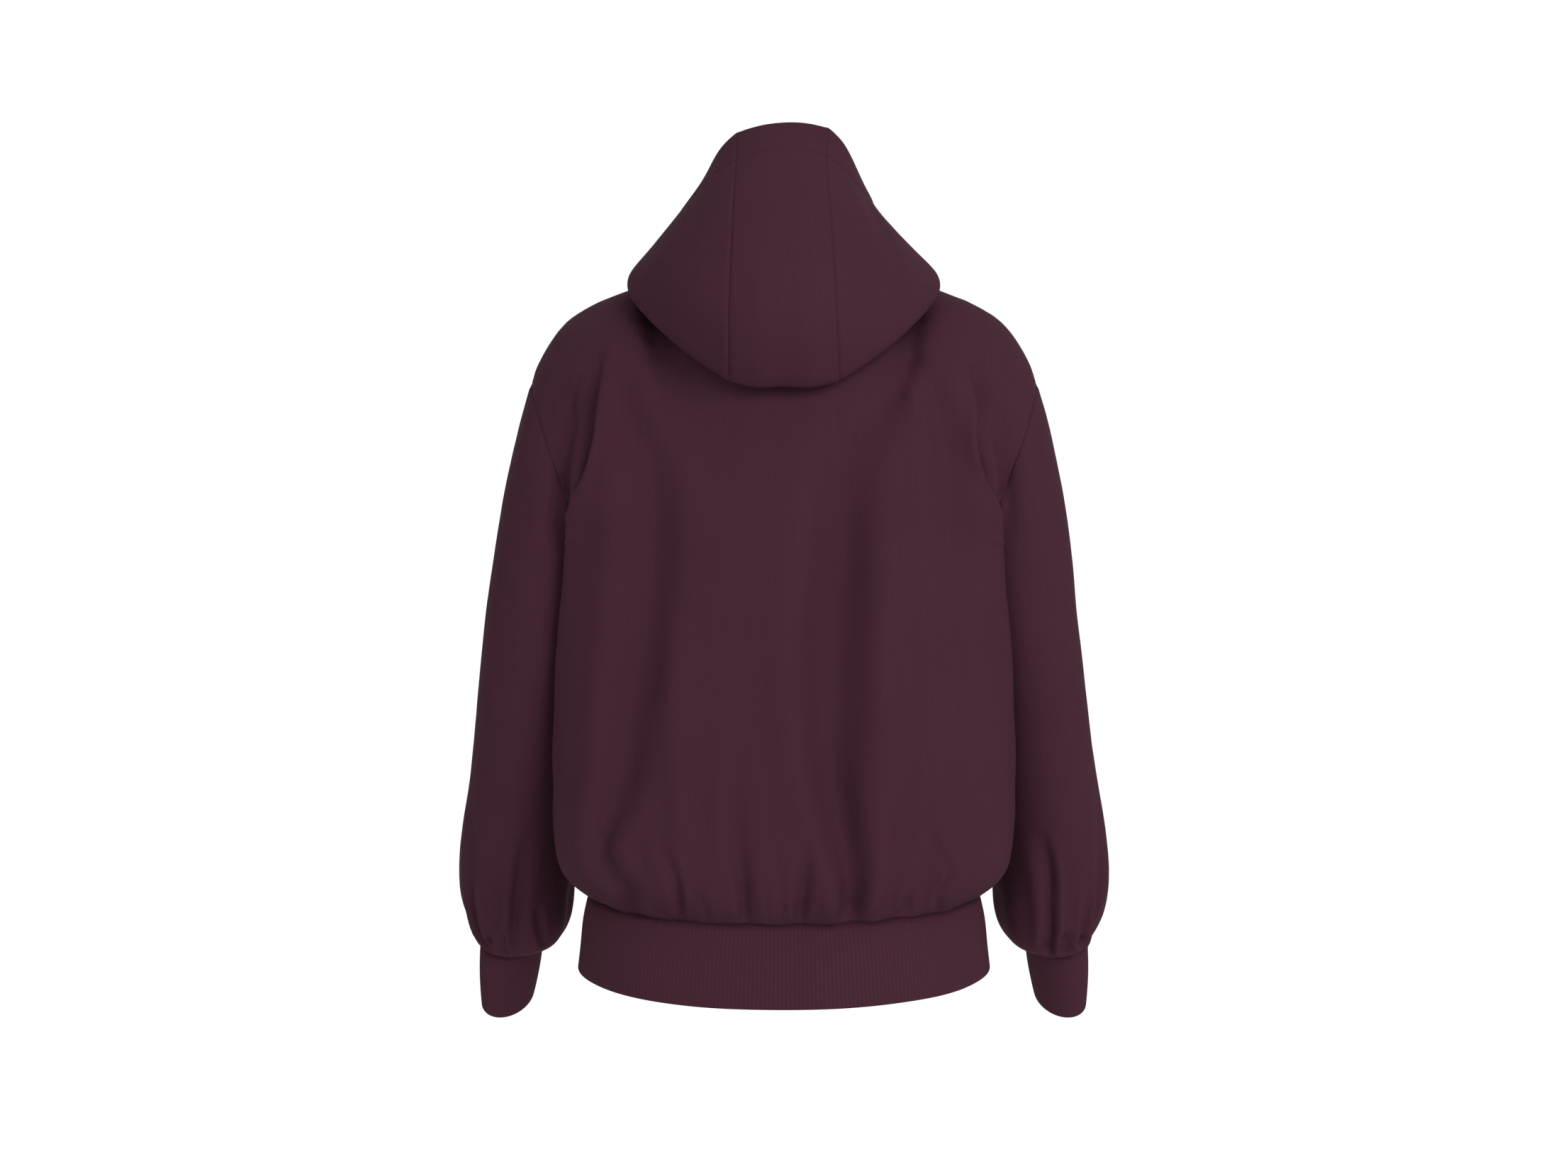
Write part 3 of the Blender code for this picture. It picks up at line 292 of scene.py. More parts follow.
def smoothed(name, shape, levels, grain):
    """A mesh of the skin, subdivided so that its surface still lies on the skin's own points."""
    on_edge = np.array([[vert.is_boundary] for vert in shape.verts])
    coarse = new_mesh(name + "_coarse", shape)
    carrier = new_object(name + "_coarse", coarse)
    flat_size = lay_flat(carrier, grain)
    smooth = carrier.modifiers.new("smooth", "SUBSURF")
    smooth.levels = levels
    smooth.render_levels = levels
    smooth.boundary_smooth = "PRESERVE_CORNERS"
    wanted = point_values(coarse, "co")
    cage = wanted.copy()
    for _ in range(FIT_ROUNDS):
        fine = evaluated_copy(carrier)
        missed = wanted - point_values(fine, "co")[: len(wanted)]
        out = point_values(coarse, "normal")
        cage += np.where(on_edge, missed, (missed * out).sum(1)[:, None] * out)
        coarse.vertices.foreach_set("co", cage.ravel())
        coarse.update()
        bpy.data.meshes.remove(fine)
    fine = evaluated_copy(carrier)
    fine.name = name
    bpy.data.objects.remove(carrier)
    bpy.data.meshes.remove(coarse)
    return fine, flat_size


# %% [markdown]
# Now every piece is taken from its node. The rows say how thick its wall is, a point outside
# it, how finely it is divided, which way its grain runs, and on which side a tube is joined.

# %% Fine skins of all the pieces
Piece = namedtuple("Piece", "wall outside levels grain joined")
UPWARD = (0, 0, 1)
BACKWARD = (0, 1, 0)
PIECES = {
    "back": Piece(FLEECE_WALL, (0.0, 0.6, -0.35), 3, UPWARD, None),
    "front": Piece(FLEECE_WALL, (0.0, -0.6, -0.35), 2, UPWARD, None),
    "sleeve_left": Piece(FLEECE_WALL, (0.7, 0.0, -0.35), 3, UPWARD, (-1, 0, 0)),
    "sleeve_right": Piece(FLEECE_WALL, (-0.7, 0.0, -0.35), 3, UPWARD, (1, 0, 0)),
    "cuff_left": Piece(RIB_WALL, (0.7, 0.0, -0.66), 2, UPWARD, (-1, 0, 0)),
    "cuff_right": Piece(RIB_WALL, (-0.7, 0.0, -0.66), 2, UPWARD, (1, 0, 0)),
    "hem_band": Piece(RIB_WALL, (0.0, 0.6, -0.61), 2, UPWARD, (1, 0, 0)),
    "hood_left": Piece(HOOD_WALL, (0.3, 0.5, 0.1), 3, BACKWARD, None),
    "hood_centre": Piece(HOOD_WALL, (0.0, 0.6, 0.0), 3, BACKWARD, None),
    "hood_right": Piece(HOOD_WALL, (-0.3, 0.5, 0.1), 3, BACKWARD, None),
}
meshes = {}
flat_sizes = {}
for name, piece in PIECES.items():
    shape = skin_of(name, piece.wall, piece.outside)
    join_in_rows(shape)
    if piece.joined:
        cut_open(shape, piece.joined)
    meshes[name], flat_sizes[name] = smoothed(name, shape, piece.levels, piece.grain)
    print(name, len(meshes[name].polygons), "faces, flat", np.round(flat_sizes[name] / CM, 1), "cm")

# %% [markdown]
# The cuffs and the hem band are ribbed: upright ridges with furrows between them. Real ones
# are about 2 mm apart, too fine for a whole view, so they are drawn about 3 mm apart. A ring
# is divided until it has four columns of points for each ridge, and every point is told how
# deep in a furrow it lies, from 0 on the ridge to 1.

# %% Give the rings their rib columns
COLUMNS_PER_RIB = 4
RIB_CUTS = {"cuff_left": 2, "cuff_right": 2, "hem_band": 3}


def ring_lines(shape):
    """The upright lines of a ring's net, one after the other around its top edge."""
    start = max((vert for vert in shape.verts if vert.is_boundary), key=lambda vert: vert.co.z)
    lines, vert, came_by = [], start, None
    while vert is not start or not lines:
        lines.append(straight_across(vert))
        came_by = next(link for link in vert.link_edges if link.is_boundary and link is not came_by)
        vert = came_by.other_vert(vert)
    return lines


for name, cuts in RIB_CUTS.items():
    shape = bmesh.new()
    shape.from_mesh(meshes[name])
    upright = {shape.edges.get(pair) for line in ring_lines(shape) for pair in zip(line, line[1:])}
    around = [edge for edge in shape.edges if edge not in upright]
    bmesh.ops.subdivide_edges(shape, edges=around, cuts=cuts, use_grid_fill=True)
    furrow = shape.verts.layers.float.new("furrow")
    lines = ring_lines(shape)
    for number, line in enumerate(lines):
        for vert in line:
            vert[furrow] = 1 - abs(2 * (number % COLUMNS_PER_RIB) / COLUMNS_PER_RIB - 1)
    shape.to_mesh(meshes[name])
    shape.free()
    print(name, len(lines) // COLUMNS_PER_RIB, "ribs")

# %% [markdown]
# The model has two short troughs under the hood's corners, which the real cloth doesn't show.
# They are ironed out: near them, each point gives way to the average of its neighbours, over
# and over. The edges stay put.

# %% Iron the back
IRON_ROUNDS = 300
IRON_WIDTH = 16 * MM
# The trough on the left, as across and height (cm); the other is its mirror image.
TROUGH = [(11.1, -2.5), (11.0, -5.0), (10.7, -7.0), (10.3, -8.8), (9.7, -10.4), (9.0, -12.0)]


def bell(distance, width):
    """A bell curve: 1 at no distance, and almost nothing at twice the width."""
    return np.exp(-((distance / width) ** 2))


def edge_ends(mesh):
    """The numbers of the two points of every edge of a mesh, a row for each edge."""
    ends = np.empty(len(mesh.edges) * 2, int)
    mesh.edges.foreach_get("vertices", ends)
    return ends.reshape(-1, 2)


def open_edges(mesh):
    """The two ends of each open edge of a mesh, as two rows of point numbers."""
    uses = Counter(key for face in mesh.polygons for key in face.edge_keys)
    return np.array([key for key, count in uses.items() if count == 1]).T


def averaged(mesh, values, rounds, pinned=()):
    """Values at a mesh's points, each averaged with its neighbours', some rounds over."""
    start, end = edge_ends(mesh).T
    size = len(values)
    links = 1.0 + np.bincount(start, minlength=size) + np.bincount(end, minlength=size)
    pinned = list(pinned)
    held = values[pinned]
    for _ in range(rounds):
        total = [part + np.bincount(start, part[end], size) + np.bincount(end, part[start], size)
                 for part in values.T]
        values = np.stack(total, axis=1) / links[:, None]
        values[pinned] = held
    return values


back = meshes["back"]
creased = point_values(back, "co")
even = averaged(back, creased, IRON_ROUNDS, np.unique(open_edges(back)))
ironed = creased
for way in (-1, 1):
    apart = np.linalg.norm(ironed[:, None, [0, 2]] - np.array(TROUGH) * (way * CM, CM), axis=2)
    share = bell(apart.min(1), IRON_WIDTH)[:, None]
    ironed = ironed + share * (even - ironed)
print("ironed by up to", round(np.linalg.norm(ironed - creased, axis=1).max() / MM, 1), "mm")
back.vertices.foreach_set("co", ironed.ravel())
back.update()

# %% [markdown]
# Sewing holds cloth flat, so each point is told how far it is from the nearest sewn edge, and
# from the nearest free one. An edge point is sewn where another piece has one right beside it.
# All the shaping that follows is added up in one number a point: how far to lift it. The
# direction of the lift is evened out, so that cloth lifted out of a hollow can't cross itself.

# %% Measure the sewn and the free edges
SEWN_WITHIN = 4.5 * MM
FAR = 1.0
EVENING_ROUNDS = 24


def edge_points(mesh):
    """The points on the open edges of a mesh."""
    return [mesh.vertices[number].co.copy() for number in np.unique(open_edges(mesh))]


def tree_of(points):
    """A tree that finds the nearest of some points."""
    tree = KDTree(len(points))
    for number, point in enumerate(points):
        tree.insert(point, number)
    tree.balance()
    return tree


def distances(places, points):
    """How far each place is from the nearest of some points."""
    if not points:
        return np.full(len(places), FAR)
    tree = tree_of(points)
    return np.array([tree.find(place)[2] for place in places])


edges = {name: edge_points(mesh) for name, mesh in meshes.items()}
skins = {}
for name, mesh in meshes.items():
    others = tree_of([point for other in edges if other != name for point in edges[other]])
    sewn = [point for point in edges[name] if others.find(point)[2] < SEWN_WITHIN]
    free = [point for point in edges[name] if others.find(point)[2] >= SEWN_WITHIN]
    place = point_values(mesh, "co")
    facing = averaged(mesh, point_values(mesh, "normal"), EVENING_ROUNDS)
    skins[name] = SimpleNamespace(
        place=place,
        normal=facing / np.linalg.norm(facing, axis=1)[:, None],
        tree=BVHTree.FromPolygons(place.tolist(), [list(face.vertices) for face in mesh.polygons]),
        to_seam=distances(place, sewn),
        to_free=distances(place, free),
        lift=np.zeros(len(place)),
    )
    print(name, len(sewn), "sewn and", len(free), "free edge points")

# %% [markdown]
# The creases are given one by one. Each one is a path drawn on the garment from one side, with
# a depth and a width at each of its points. The path is smoothed and laid on the skin, and
# points near it sink in a soft trough with slightly raised shoulders, because cloth that goes
# in at a fold comes out beside it. A negative depth is a plain ridge. The lean makes one side
# steeper.

# %% Press a crease into the skins
VIEWS = {
    "back": Vector((0, 1, 0)),
    "front": Vector((0, -1, 0)),
    "left": Vector((1, 0, 0)),
    "right": Vector((-1, 0, 0)),
}
VIEW_START = 100 * CM
PATH_STEP = 0.4 * CM
SHOULDER_HEIGHT = 0.3
SHOULDER_PLACE = 1.9
SHOULDER_WIDTH = 0.9
FOLD_REACH = 3.5
HELD_AT_SEAM = 0.35
SEAM_HOLD = 7 * MM


def smooth_path(rows):
    """Rows of numbers along a path, filled in along a smooth curve through them."""
    rows = np.array(rows, float)
    before = np.vstack([2 * rows[0] - rows[1], rows[:-2], rows[-2:-1]])[: len(rows) - 1]
    after = np.vstack([rows[2:], 2 * rows[-1] - rows[-2]])
    filled = []
    for a, b, c, d in zip(before, rows[:-1], rows[1:], after):
        steps = max(2, round(np.hypot(*(c - b)[:2]) * CM / PATH_STEP))
        for t in np.arange(steps) / steps:
            bend = (-a + 3 * b - 3 * c + d) * t**3 + (2 * a - 5 * b + 4 * c - d) * t**2
            filled.append(0.5 * (bend + (c - a) * t + 2 * b))
    filled.append(rows[-1])
    return np.array(filled)


def laid_on(skin, view, rows):
    """The places and normals where a path drawn in a view meets a skin, and its other numbers."""
    toward = VIEWS[view]
    places, normals, numbers = [], [], []
    for across, height, *others in smooth_path(rows):
        start = Vector((0, across, height) if toward.x else (across, 0, height)) * CM
        hit, normal, _, _ = skin.tree.ray_cast(start + toward * VIEW_START, -toward)
        if hit is not None:
            places.append(hit)
            normals.append(normal)
            numbers.append(others)
    return np.array(places), np.array(normals), np.array(numbers)


def press(names, view, rows, lean=0.0):
    """Press one fold: each row of its path is across, height (cm), depth, width (mm)."""
    for name in names.split():
        skin = skins[name]
        spots, facing, numbers = laid_on(skin, view, rows)
        if len(spots) < 2:
            print("no fold on", name, rows[0])
            continue
        depth, width = numbers.T * MM
        along = np.gradient(spots, axis=0)
        along /= np.linalg.norm(along, axis=1)[:, None]
        across = np.cross(facing, along)
        reach = FOLD_REACH * width.max()
        near = np.all((skin.place > spots.min(0) - reach) & (skin.place < spots.max(0) + reach), axis=1)
        near = np.flatnonzero(near)
        apart = skin.place[near][:, None, :] - spots[None, :, :]
        distance = np.linalg.norm(apart, axis=2)
        nearest = distance.argmin(axis=1)
        every = np.arange(len(near))
        side = np.einsum("ij,ij->i", apart[every, nearest], across[nearest])
        side /= np.maximum(distance[every, nearest], SAME_PLACE)
        away = distance[every, nearest] / (width[nearest] * (1 + lean * side))
        alike = np.einsum("ij,ij->i", skin.normal[near], facing[nearest]).clip(0, 1)
        shoulder = SHOULDER_HEIGHT * bell(away - SHOULDER_PLACE, SHOULDER_WIDTH)
        swell = np.maximum(depth[nearest], 0) * shoulder
        skin.lift[near] += alike * (swell - depth[nearest] * bell(away, 1))

# %% [markdown]
# Two long troughs run down the back from under the hood and swing apart towards the hem, and
# a fainter one hangs from the right shoulder blade. The panel is wider than the band, so it
# is gathered in short uneven folds. A soft swell follows the hood's lower edge. Each row of a
# fold is across and height in centimetres, then depth and width in millimetres.

# %% Folds of the back
FOLDS_OF_THE_BACK = [
    [(14.5, -12, 0.8, 15), (13.1, -15.5, 3.6, 17.5), (11.7, -19, 6.5, 19), (11.8, -27, 7.7, 19),
     (12.4, -35, 8.5, 19), (13.4, -40, 8.9, 17.5), (13.9, -45, 9.4, 16), (15.3, -49, 10, 15),
     (16.0, -51.5, 10, 14), (14.9, -53.6, 8.5, 12), (13.5, -55.3, 7.5, 10), (13.2, -57.6, 6, 8)],
    [(-6.4, -13, 0.8, 17.5), (-5.5, -17, 5.2, 19), (-4.8, -21.5, 8.1, 20), (-4.3, -27, 8.9, 21),
     (-3.7, -35, 9.7, 21), (-3.8, -41, 9.7, 19), (-4.3, -46, 11, 16), (-5.2, -51, 12, 13),
     (-5.7, -54, 11.5, 11), (-5.6, -57.8, 9, 8)],
    [(-11.4, -9.5, 1.6, 10), (-12.7, -12, 3.6, 11), (-13.8, -15.5, 4.2, 12.5), (-14.3, -21.5, 3.2, 15),
     (-14.5, -33, 3.2, 16), (-14.6, -43, 3.6, 16), (-14.8, -49, 4.0, 12.5), (-14.7, -52, 4.0, 10)],
    [(9.2, -32, -0.9, 14), (9.2, -39, -3.6, 14), (8.9, -47, -3.6, 12), (8.5, -52, -1.8, 9)],
    [(-8.2, -21, -1.8, 16), (-8.4, -30, -4.5, 16), (-8.5, -42, -4.5, 14), (-8.4, -52, -2.7, 10)],
]
GATHERS_OF_THE_BACK = [
    [(10.2, -51.5, 1.4, 6), (9.3, -53.5, 3.5, 5), (8.9, -55.5, 4.9, 4), (8.9, -57.9, 4.6, 3.5)],
    [(4.1, -43, 1.1, 8), (4.2, -47, 3.2, 8), (4.0, -51, 4.1, 7), (3.5, -54, 4.6, 5),
     (3.3, -58, 4.3, 4)],
    [(0.7, -51.5, 0.8, 5), (0.3, -55, 1.6, 4), (0.2, -58, 1.4, 3.5)],
    [(-1.9, -50.5, 1.1, 6), (-1.6, -54.5, 3.8, 5), (-1.3, -58, 3.8, 4)],
    [(-10.8, -53.8, 1.1, 5), (-10.5, -56.2, 2.7, 4.5), (-10.3, -57.8, 2.7, 4)],
    [(-17.9, -53, -2.0, 5), (-16.5, -54.6, -3.0, 5), (-14.9, -56.2, -2.0, 5)],
    [(2.0, -45, -0.7, 5), (2.0, -52, -1.9, 5), (1.9, -57.5, -2.2, 4.5)],
    [(11.7, -54.5, -1.1, 5), (11.7, -57.5, -2.0, 4.5)],
    [(6.8, -55.5, 0.8, 4), (6.5, -57.9, 2.2, 3.5)],
    [(16.7, -55.2, 1.1, 5), (16.1, -56.6, 2.2, 4)],
]
HOOKED_GATHER = [(-12.0, -46, 1.1, 4), (-12.4, -49, 2.2, 4), (-13.1, -51.5, 3.2, 4), (-14.0, -52.9, 3.5, 4),
                 (-14.1, -54, 3.5, 4), (-13.2, -55.4, 3.2, 4), (-13.2, -57, 3.0, 4)]
UNDER_THE_HOOD = [
    [(13.5, -6.0, -1, 22), (10.5, -8.2, -5, 24), (7.0, -10.6, -6, 26), (0.0, -12.3, -5, 26),
     (-7.0, -10.6, -6, 26), (-10.5, -8.2, -5, 24), (-13.5, -6.0, -1, 22)],
]
for rows in FOLDS_OF_THE_BACK + GATHERS_OF_THE_BACK + UNDER_THE_HOOD:
    press("back", "back", rows)
press("back", "back", HOOKED_GATHER, lean=0.3)
print(len(FOLDS_OF_THE_BACK), "folds and", len(GATHERS_OF_THE_BACK), "gathers on the back")

# %% [markdown]
# The dropped shoulders push a deep fold down into each armhole, sharp on the body's side and
# soft on the arm's, with faint drag lines beside it. Below, a low swell keeps the body's
# outline straight. The sleeves are gathered into the cuffs, where the cloth blouses out
# between deep short folds. Each group of folds names its piece, its view and its lean.

# %% Folds of the shoulders and the sleeves
FOLDS_OF_THE_SHOULDERS = {
    ("back", "back", -0.3): [
        [(16.0, -8.2, 0.5, 8), (16.4, -10.6, 5, 8), (16.8, -13.6, 13, 8.5), (17.2, -16.2, 17, 9),
         (17.7, -18.2, 14, 8.5), (18.1, -19.6, 7, 7), (18.5, -20.8, 1, 5)],
    ],
    ("back", "back", 0.3): [
        [(-16.6, -9.0, 0.5, 8), (-16.9, -11.2, 5, 8), (-17.1, -14.2, 13, 8.5), (-17.4, -16.8, 17, 9),
         (-17.8, -18.6, 14, 8.5), (-18.2, -20.0, 7, 7), (-18.6, -21.2, 1, 5)],
    ],
    ("back", "back", 0.0): [
        [(17.2, -8.8, 0.4, 5), (18.2, -11.4, 1.6, 4), (18.9, -14.4, 1.8, 4), (19.6, -17.2, 0.6, 4)],
        [(20.2, -10.6, 0.3, 5), (20.9, -13.0, 0.9, 5), (21.2, -15.0, 0.3, 5)],
        [(-16.3, -8.6, 0.6, 8), (-16.4, -10.4, 1.2, 8), (-16.2, -12.6, 0.5, 8)],
    ],
}
BODY_SIDE = [(7.2, -23.4, -0.2, 10), (7.0, -24.8, -2.0, 10), (6.6, -26.0, -2.9, 10),
             (6.4, -27.0, -2.4, 10), (6.3, -28.2, -0.8, 10)]
FOLDS_OF_THE_SLEEVES = {
    ("sleeve_left", "back", 0.3): [
        [(23.9, -52.5, 1.4, 7), (24.7, -56.5, 5.6, 7), (25.2, -60.0, 7.7, 6), (25.6, -63.0, 7.0, 5)],
    ],
    ("sleeve_left", "back", 0.0): [
        [(23.2, -59.6, 2.1, 4), (23.0, -61.6, 4.9, 3.5), (22.9, -63.0, 4.9, 3)],
        [(27.2, -61.4, 1.1, 4), (26.8, -62.8, 2.2, 4)],
        [(29.9, -57.0, 1.4, 4), (29.5, -60.5, 2.8, 4), (29.0, -62.5, 2.1, 4)],
    ],
    ("sleeve_right", "back", -0.3): [
        [(-24.0, -52.6, 2.1, 7), (-24.7, -56.0, 7.0, 7), (-25.1, -60.0, 9.8, 6), (-25.1, -63.3, 8.4, 5)],
    ],
    ("sleeve_right", "back", 0.0): [
        [(-28.6, -57.0, 1.1, 5), (-28.4, -60.5, 4.2, 4), (-28.2, -62.6, 4.2, 4)],
        [(-27.2, -61.8, 1.1, 4), (-27.0, -63.0, 2.0, 4)],
    ],
    ("sleeve_left", "left", 0.0): [
        [(-2.0, -50.0, 1.1, 9), (-3.4, -56.0, 4.2, 7), (-5.0, -61.0, 5.6, 5), (-5.6, -63.5, 4.9, 4)],
        [(-8.0, -54.0, 1.1, 7), (-8.6, -59.0, 4.2, 5), (-9.0, -63.0, 4.9, 4)],
    ],
    ("sleeve_right", "right", 0.0): [
        [(-2.6, -49.0, 1.1, 9), (-3.8, -55.5, 4.2, 7), (-5.4, -61.0, 5.6, 5), (-5.8, -63.5, 4.9, 4)],
        [(-8.4, -55.0, 1.1, 7), (-8.8, -59.5, 4.2, 5), (-9.2, -63.0, 4.9, 4)],
    ],
    ("sleeve_left", "front", 0.0): [
        [(25.0, -48.0, 0.8, 9), (25.6, -55.0, 3.6, 8), (26.2, -60.5, 5.6, 6), (26.4, -63.5, 4.9, 5)],
        [(28.0, -54.0, 1.1, 6), (28.0, -59.0, 3.6, 5), (27.8, -62.5, 4.2, 4)],
        [(21.5, -36.0, 0.7, 10), (23.5, -38.5, 3.6, 9), (26.0, -39.5, 0.7, 10)],
    ],
    ("sleeve_right", "front", 0.0): [
        [(-25.2, -49.0, 0.8, 9), (-25.8, -55.0, 3.6, 8), (-26.3, -60.5, 5.6, 6), (-26.5, -63.5, 4.9, 5)],
        [(-28.2, -53.0, 1.1, 6), (-28.2, -58.5, 3.6, 5), (-28.0, -62.5, 4.2, 4)],
        [(-21.3, -35.0, 0.7, 10), (-23.6, -38.0, 3.6, 9), (-26.0, -38.6, 0.7, 10)],
    ],
}
for (names, view, lean), folds in (FOLDS_OF_THE_SHOULDERS | FOLDS_OF_THE_SLEEVES).items():
    for rows in folds:
        press(names, view, rows, lean)
for view in ("left", "right"):
    press("back", view, BODY_SIDE)

# %% [markdown]
# The front hangs as the back does: two long soft troughs from the chest, drag lines from the
# neck towards the arms, and uneven gathers over the band. The hood keeps a few soft dents of
# its own weight, and small ones where its strip's seams turn under.

# %% Folds of the front and the hood
FOLDS_OF_THE_FRONT = [
    [(9.0, -14, 0.8, 14), (9.6, -22, 5.1, 16), (10.4, -32, 6.9, 16), (11.6, -42, 7.5, 14),
     (12.6, -49, 7.5, 10), (12.9, -54, 6.0, 7), (12.6, -57.4, 5.4, 5)],
    [(-8.2, -13, 0.8, 14), (-8.4, -22, 5.4, 16), (-9.2, -33, 7.2, 16), (-9.8, -43, 7.5, 13),
     (-10.8, -50, 7.5, 9), (-11.0, -57.4, 6.0, 5)],
    [(1.0, -36, 0.6, 12), (1.4, -44, 2.4, 10), (1.2, -51, 3.6, 8), (0.6, -57.6, 4.5, 4.5)],
    [(15.6, -10.5, 1.5, 9), (16.6, -14, 7.5, 10), (17.6, -17.6, 10.5, 9), (18.6, -21.0, 7.5, 7)],
    [(-15.8, -10.5, 1.5, 9), (-16.8, -14, 7.5, 10), (-17.8, -17.8, 10.5, 9), (-18.7, -21.0, 7.5, 7)],
    [(7.0, -9.0, 0.6, 8), (11.0, -12.5, 2.4, 9), (14.6, -18.0, 0.6, 9)],
    [(-6.6, -9.6, 0.6, 8), (-11.0, -13.5, 2.4, 9), (-14.4, -19.5, 0.6, 9)],
    [(5.6, -51.0, 1.2, 7), (5.4, -54.5, 3.9, 5), (5.2, -57.6, 4.5, 4)],
    [(8.6, -53.0, 0.9, 5), (8.4, -57.5, 3.6, 4)],
    [(-3.0, -49.5, 1.2, 7), (-3.4, -54.0, 4.2, 5), (-3.6, -57.6, 4.5, 4)],
    [(-6.8, -53.4, 1.2, 5), (-7.0, -57.5, 3.3, 4)],
    [(-14.4, -52.0, 1.2, 6), (-13.9, -55.2, 3.6, 5), (-13.6, -57.0, 3.6, 4)],
    [(15.8, -51.6, 1.2, 6), (15.2, -54.8, 3.6, 5), (14.9, -56.8, 3.6, 4)],
    [(3.4, -53.5, -0.9, 5), (3.2, -57.0, -2.1, 5)],
    [(-1.4, -52.5, -0.9, 5), (-1.6, -57.0, -2.1, 5)],
]
FOLDS_OF_THE_HOOD = {
    "hood_right": [
        [(-6.2, 6.6, 0.4, 10), (-7.6, 3.4, 1.6, 9), (-9.0, -0.4, 1.6, 9), (-10.4, -3.2, 0.4, 9)],
    ],
    "hood_left": [[(6.6, 5.0, 0.4, 10), (7.8, 1.6, 1.2, 10), (9.2, -1.8, 0.4, 9)]],
    "hood_left hood_centre": [
        [(4.6, -8.9, 2.2, 2.5), (4.6, -9.5, 2.2, 2.5)],
        [(4.6, -10.6, 3.0, 2.5), (4.6, -12.0, 3.0, 2.5)],
    ],
    "hood_right hood_centre": [
        [(-4.5, -9.0, 3.0, 2.5), (-4.5, -9.6, 3.0, 2.5)],
        [(-4.5, -10.4, 2.2, 2.5), (-4.5, -10.9, 2.2, 2.5)],
    ],
}
for rows in FOLDS_OF_THE_FRONT:
    press("front", "front", rows)
for names, folds in FOLDS_OF_THE_HOOD.items():
    for rows in folds:
        press(names, "back", rows)
print(len(FOLDS_OF_THE_FRONT), "folds on the front")

# %% [markdown]
# Near a sewn edge the folds are flatter. Cloth is never quite even, so it gets a slight slow
# wave, and small ripples where the thread draws it in. The sewn edges roll inwards, which makes
# the groove that a seam shows from outside.

# %% Seams and unevenness
SLOW_WAVE = (55 * MM, 0.7 * MM)
SMALL_WAVE = (17 * MM, 0.12 * MM)
PUCKER = (9 * MM, 0.35 * MM)
PUCKER_REACH = 7 * MM
PUCKER_SEED = 7
SEAM_SINK = 0.8 * MM
SEAM_ROLL = 2.2 * MM
HOOD_SEAM_SINK = 0.25 * MM
HOOD_SEAM_ROLL = 1.5 * MM


def wave(places, size, seed):
    """Smooth noise of about one size at each place, from -1 to 1."""
    offset = Vector((seed, 2 * seed, 3 * seed))
    return np.array([noise.noise(Vector(place) / size + offset) for place in places])


for seed, (name, skin) in enumerate(skins.items()):
    held = HELD_AT_SEAM + (1 - HELD_AT_SEAM) * (1 - bell(skin.to_seam, SEAM_HOLD))
    skin.lift *= held
    if name not in RIB_CUTS:
        for size, height in (SLOW_WAVE, SMALL_WAVE):
            skin.lift += held * height * wave(skin.place, size, seed + size)
        size, height = PUCKER
        skin.lift += height * bell(skin.to_seam, PUCKER_REACH) * wave(skin.place, size, PUCKER_SEED)
    on_hood = name.startswith("hood")
    sink, roll = (HOOD_SEAM_SINK, HOOD_SEAM_ROLL) if on_hood else (SEAM_SINK, SEAM_ROLL)
    skin.lift -= sink * bell(skin.to_seam, roll)

# %% [markdown]
# The hood's face edge is turned in and stitched 3.8 cm from the edge. The double cloth stands
# a little higher, and the stitches draw it into a fine groove, as they do beside the ribs.

# %% The rows of stitches
HOOD_HEM = 38 * MM
HEM_STEP = 0.5 * MM
HEM_SLOPE = 2.5 * MM
STITCH_GROOVE = 0.9 * MM
GROOVE_WIDTH = 2.0 * MM
BESIDE_RIB = {"back": ("hem_band", 5 * MM), "front": ("hem_band", 5 * MM),
              "sleeve_left": ("cuff_left", 4 * MM), "sleeve_right": ("cuff_right", 4 * MM)}
RIB_ROW_GROOVE = 0.45 * MM

hood_names = [name for name in PIECES if name.startswith("hood")]
face_edge = [
    point
    for name in hood_names
    for point, apart in zip(skins[name].place, skins[name].to_free)
    if apart < SAME_PLACE
]
for name in hood_names:
    skin = skins[name]
    skin.to_face = distances(skin.place, face_edge)
    doubled = 0.5 - 0.5 * np.tanh((skin.to_face - HOOD_HEM) / HEM_SLOPE)
    groove = STITCH_GROOVE * bell(skin.to_face - HOOD_HEM, GROOVE_WIDTH)
    skin.lift += HEM_STEP * doubled - groove
for name, (rib_piece, apart) in BESIDE_RIB.items():
    skin = skins[name]
    skin.to_rib = distances(skin.place, edges[rib_piece])
    skin.lift -= RIB_ROW_GROOVE * bell(skin.to_rib - apart, GROOVE_WIDTH)
print(len(face_edge), "points on the face edge")

# %% [markdown]
# The ribs are raised in the rings' columns, a ridge and a furrow in turn. They flatten out
# where the rib is stitched to the body or folded at its free edge.

# %% Raise the ribs
RIB_HEIGHT = 0.12 * MM
RIB_FLAT_AT_EDGE = 3 * MM
RIB_SHARE_AT_EDGE = 0.35

for name in RIB_CUTS:
    skin = skins[name]
    furrow = np.empty(len(skin.place))
    meshes[name].attributes["furrow"].data.foreach_get("value", furrow)
    ridge = 1 - 2 * furrow
    even = 1 - bell(np.minimum(skin.to_seam, skin.to_free), RIB_FLAT_AT_EDGE)
    skin.lift += RIB_HEIGHT * ridge * (RIB_SHARE_AT_EDGE + (1 - RIB_SHARE_AT_EDGE) * even)

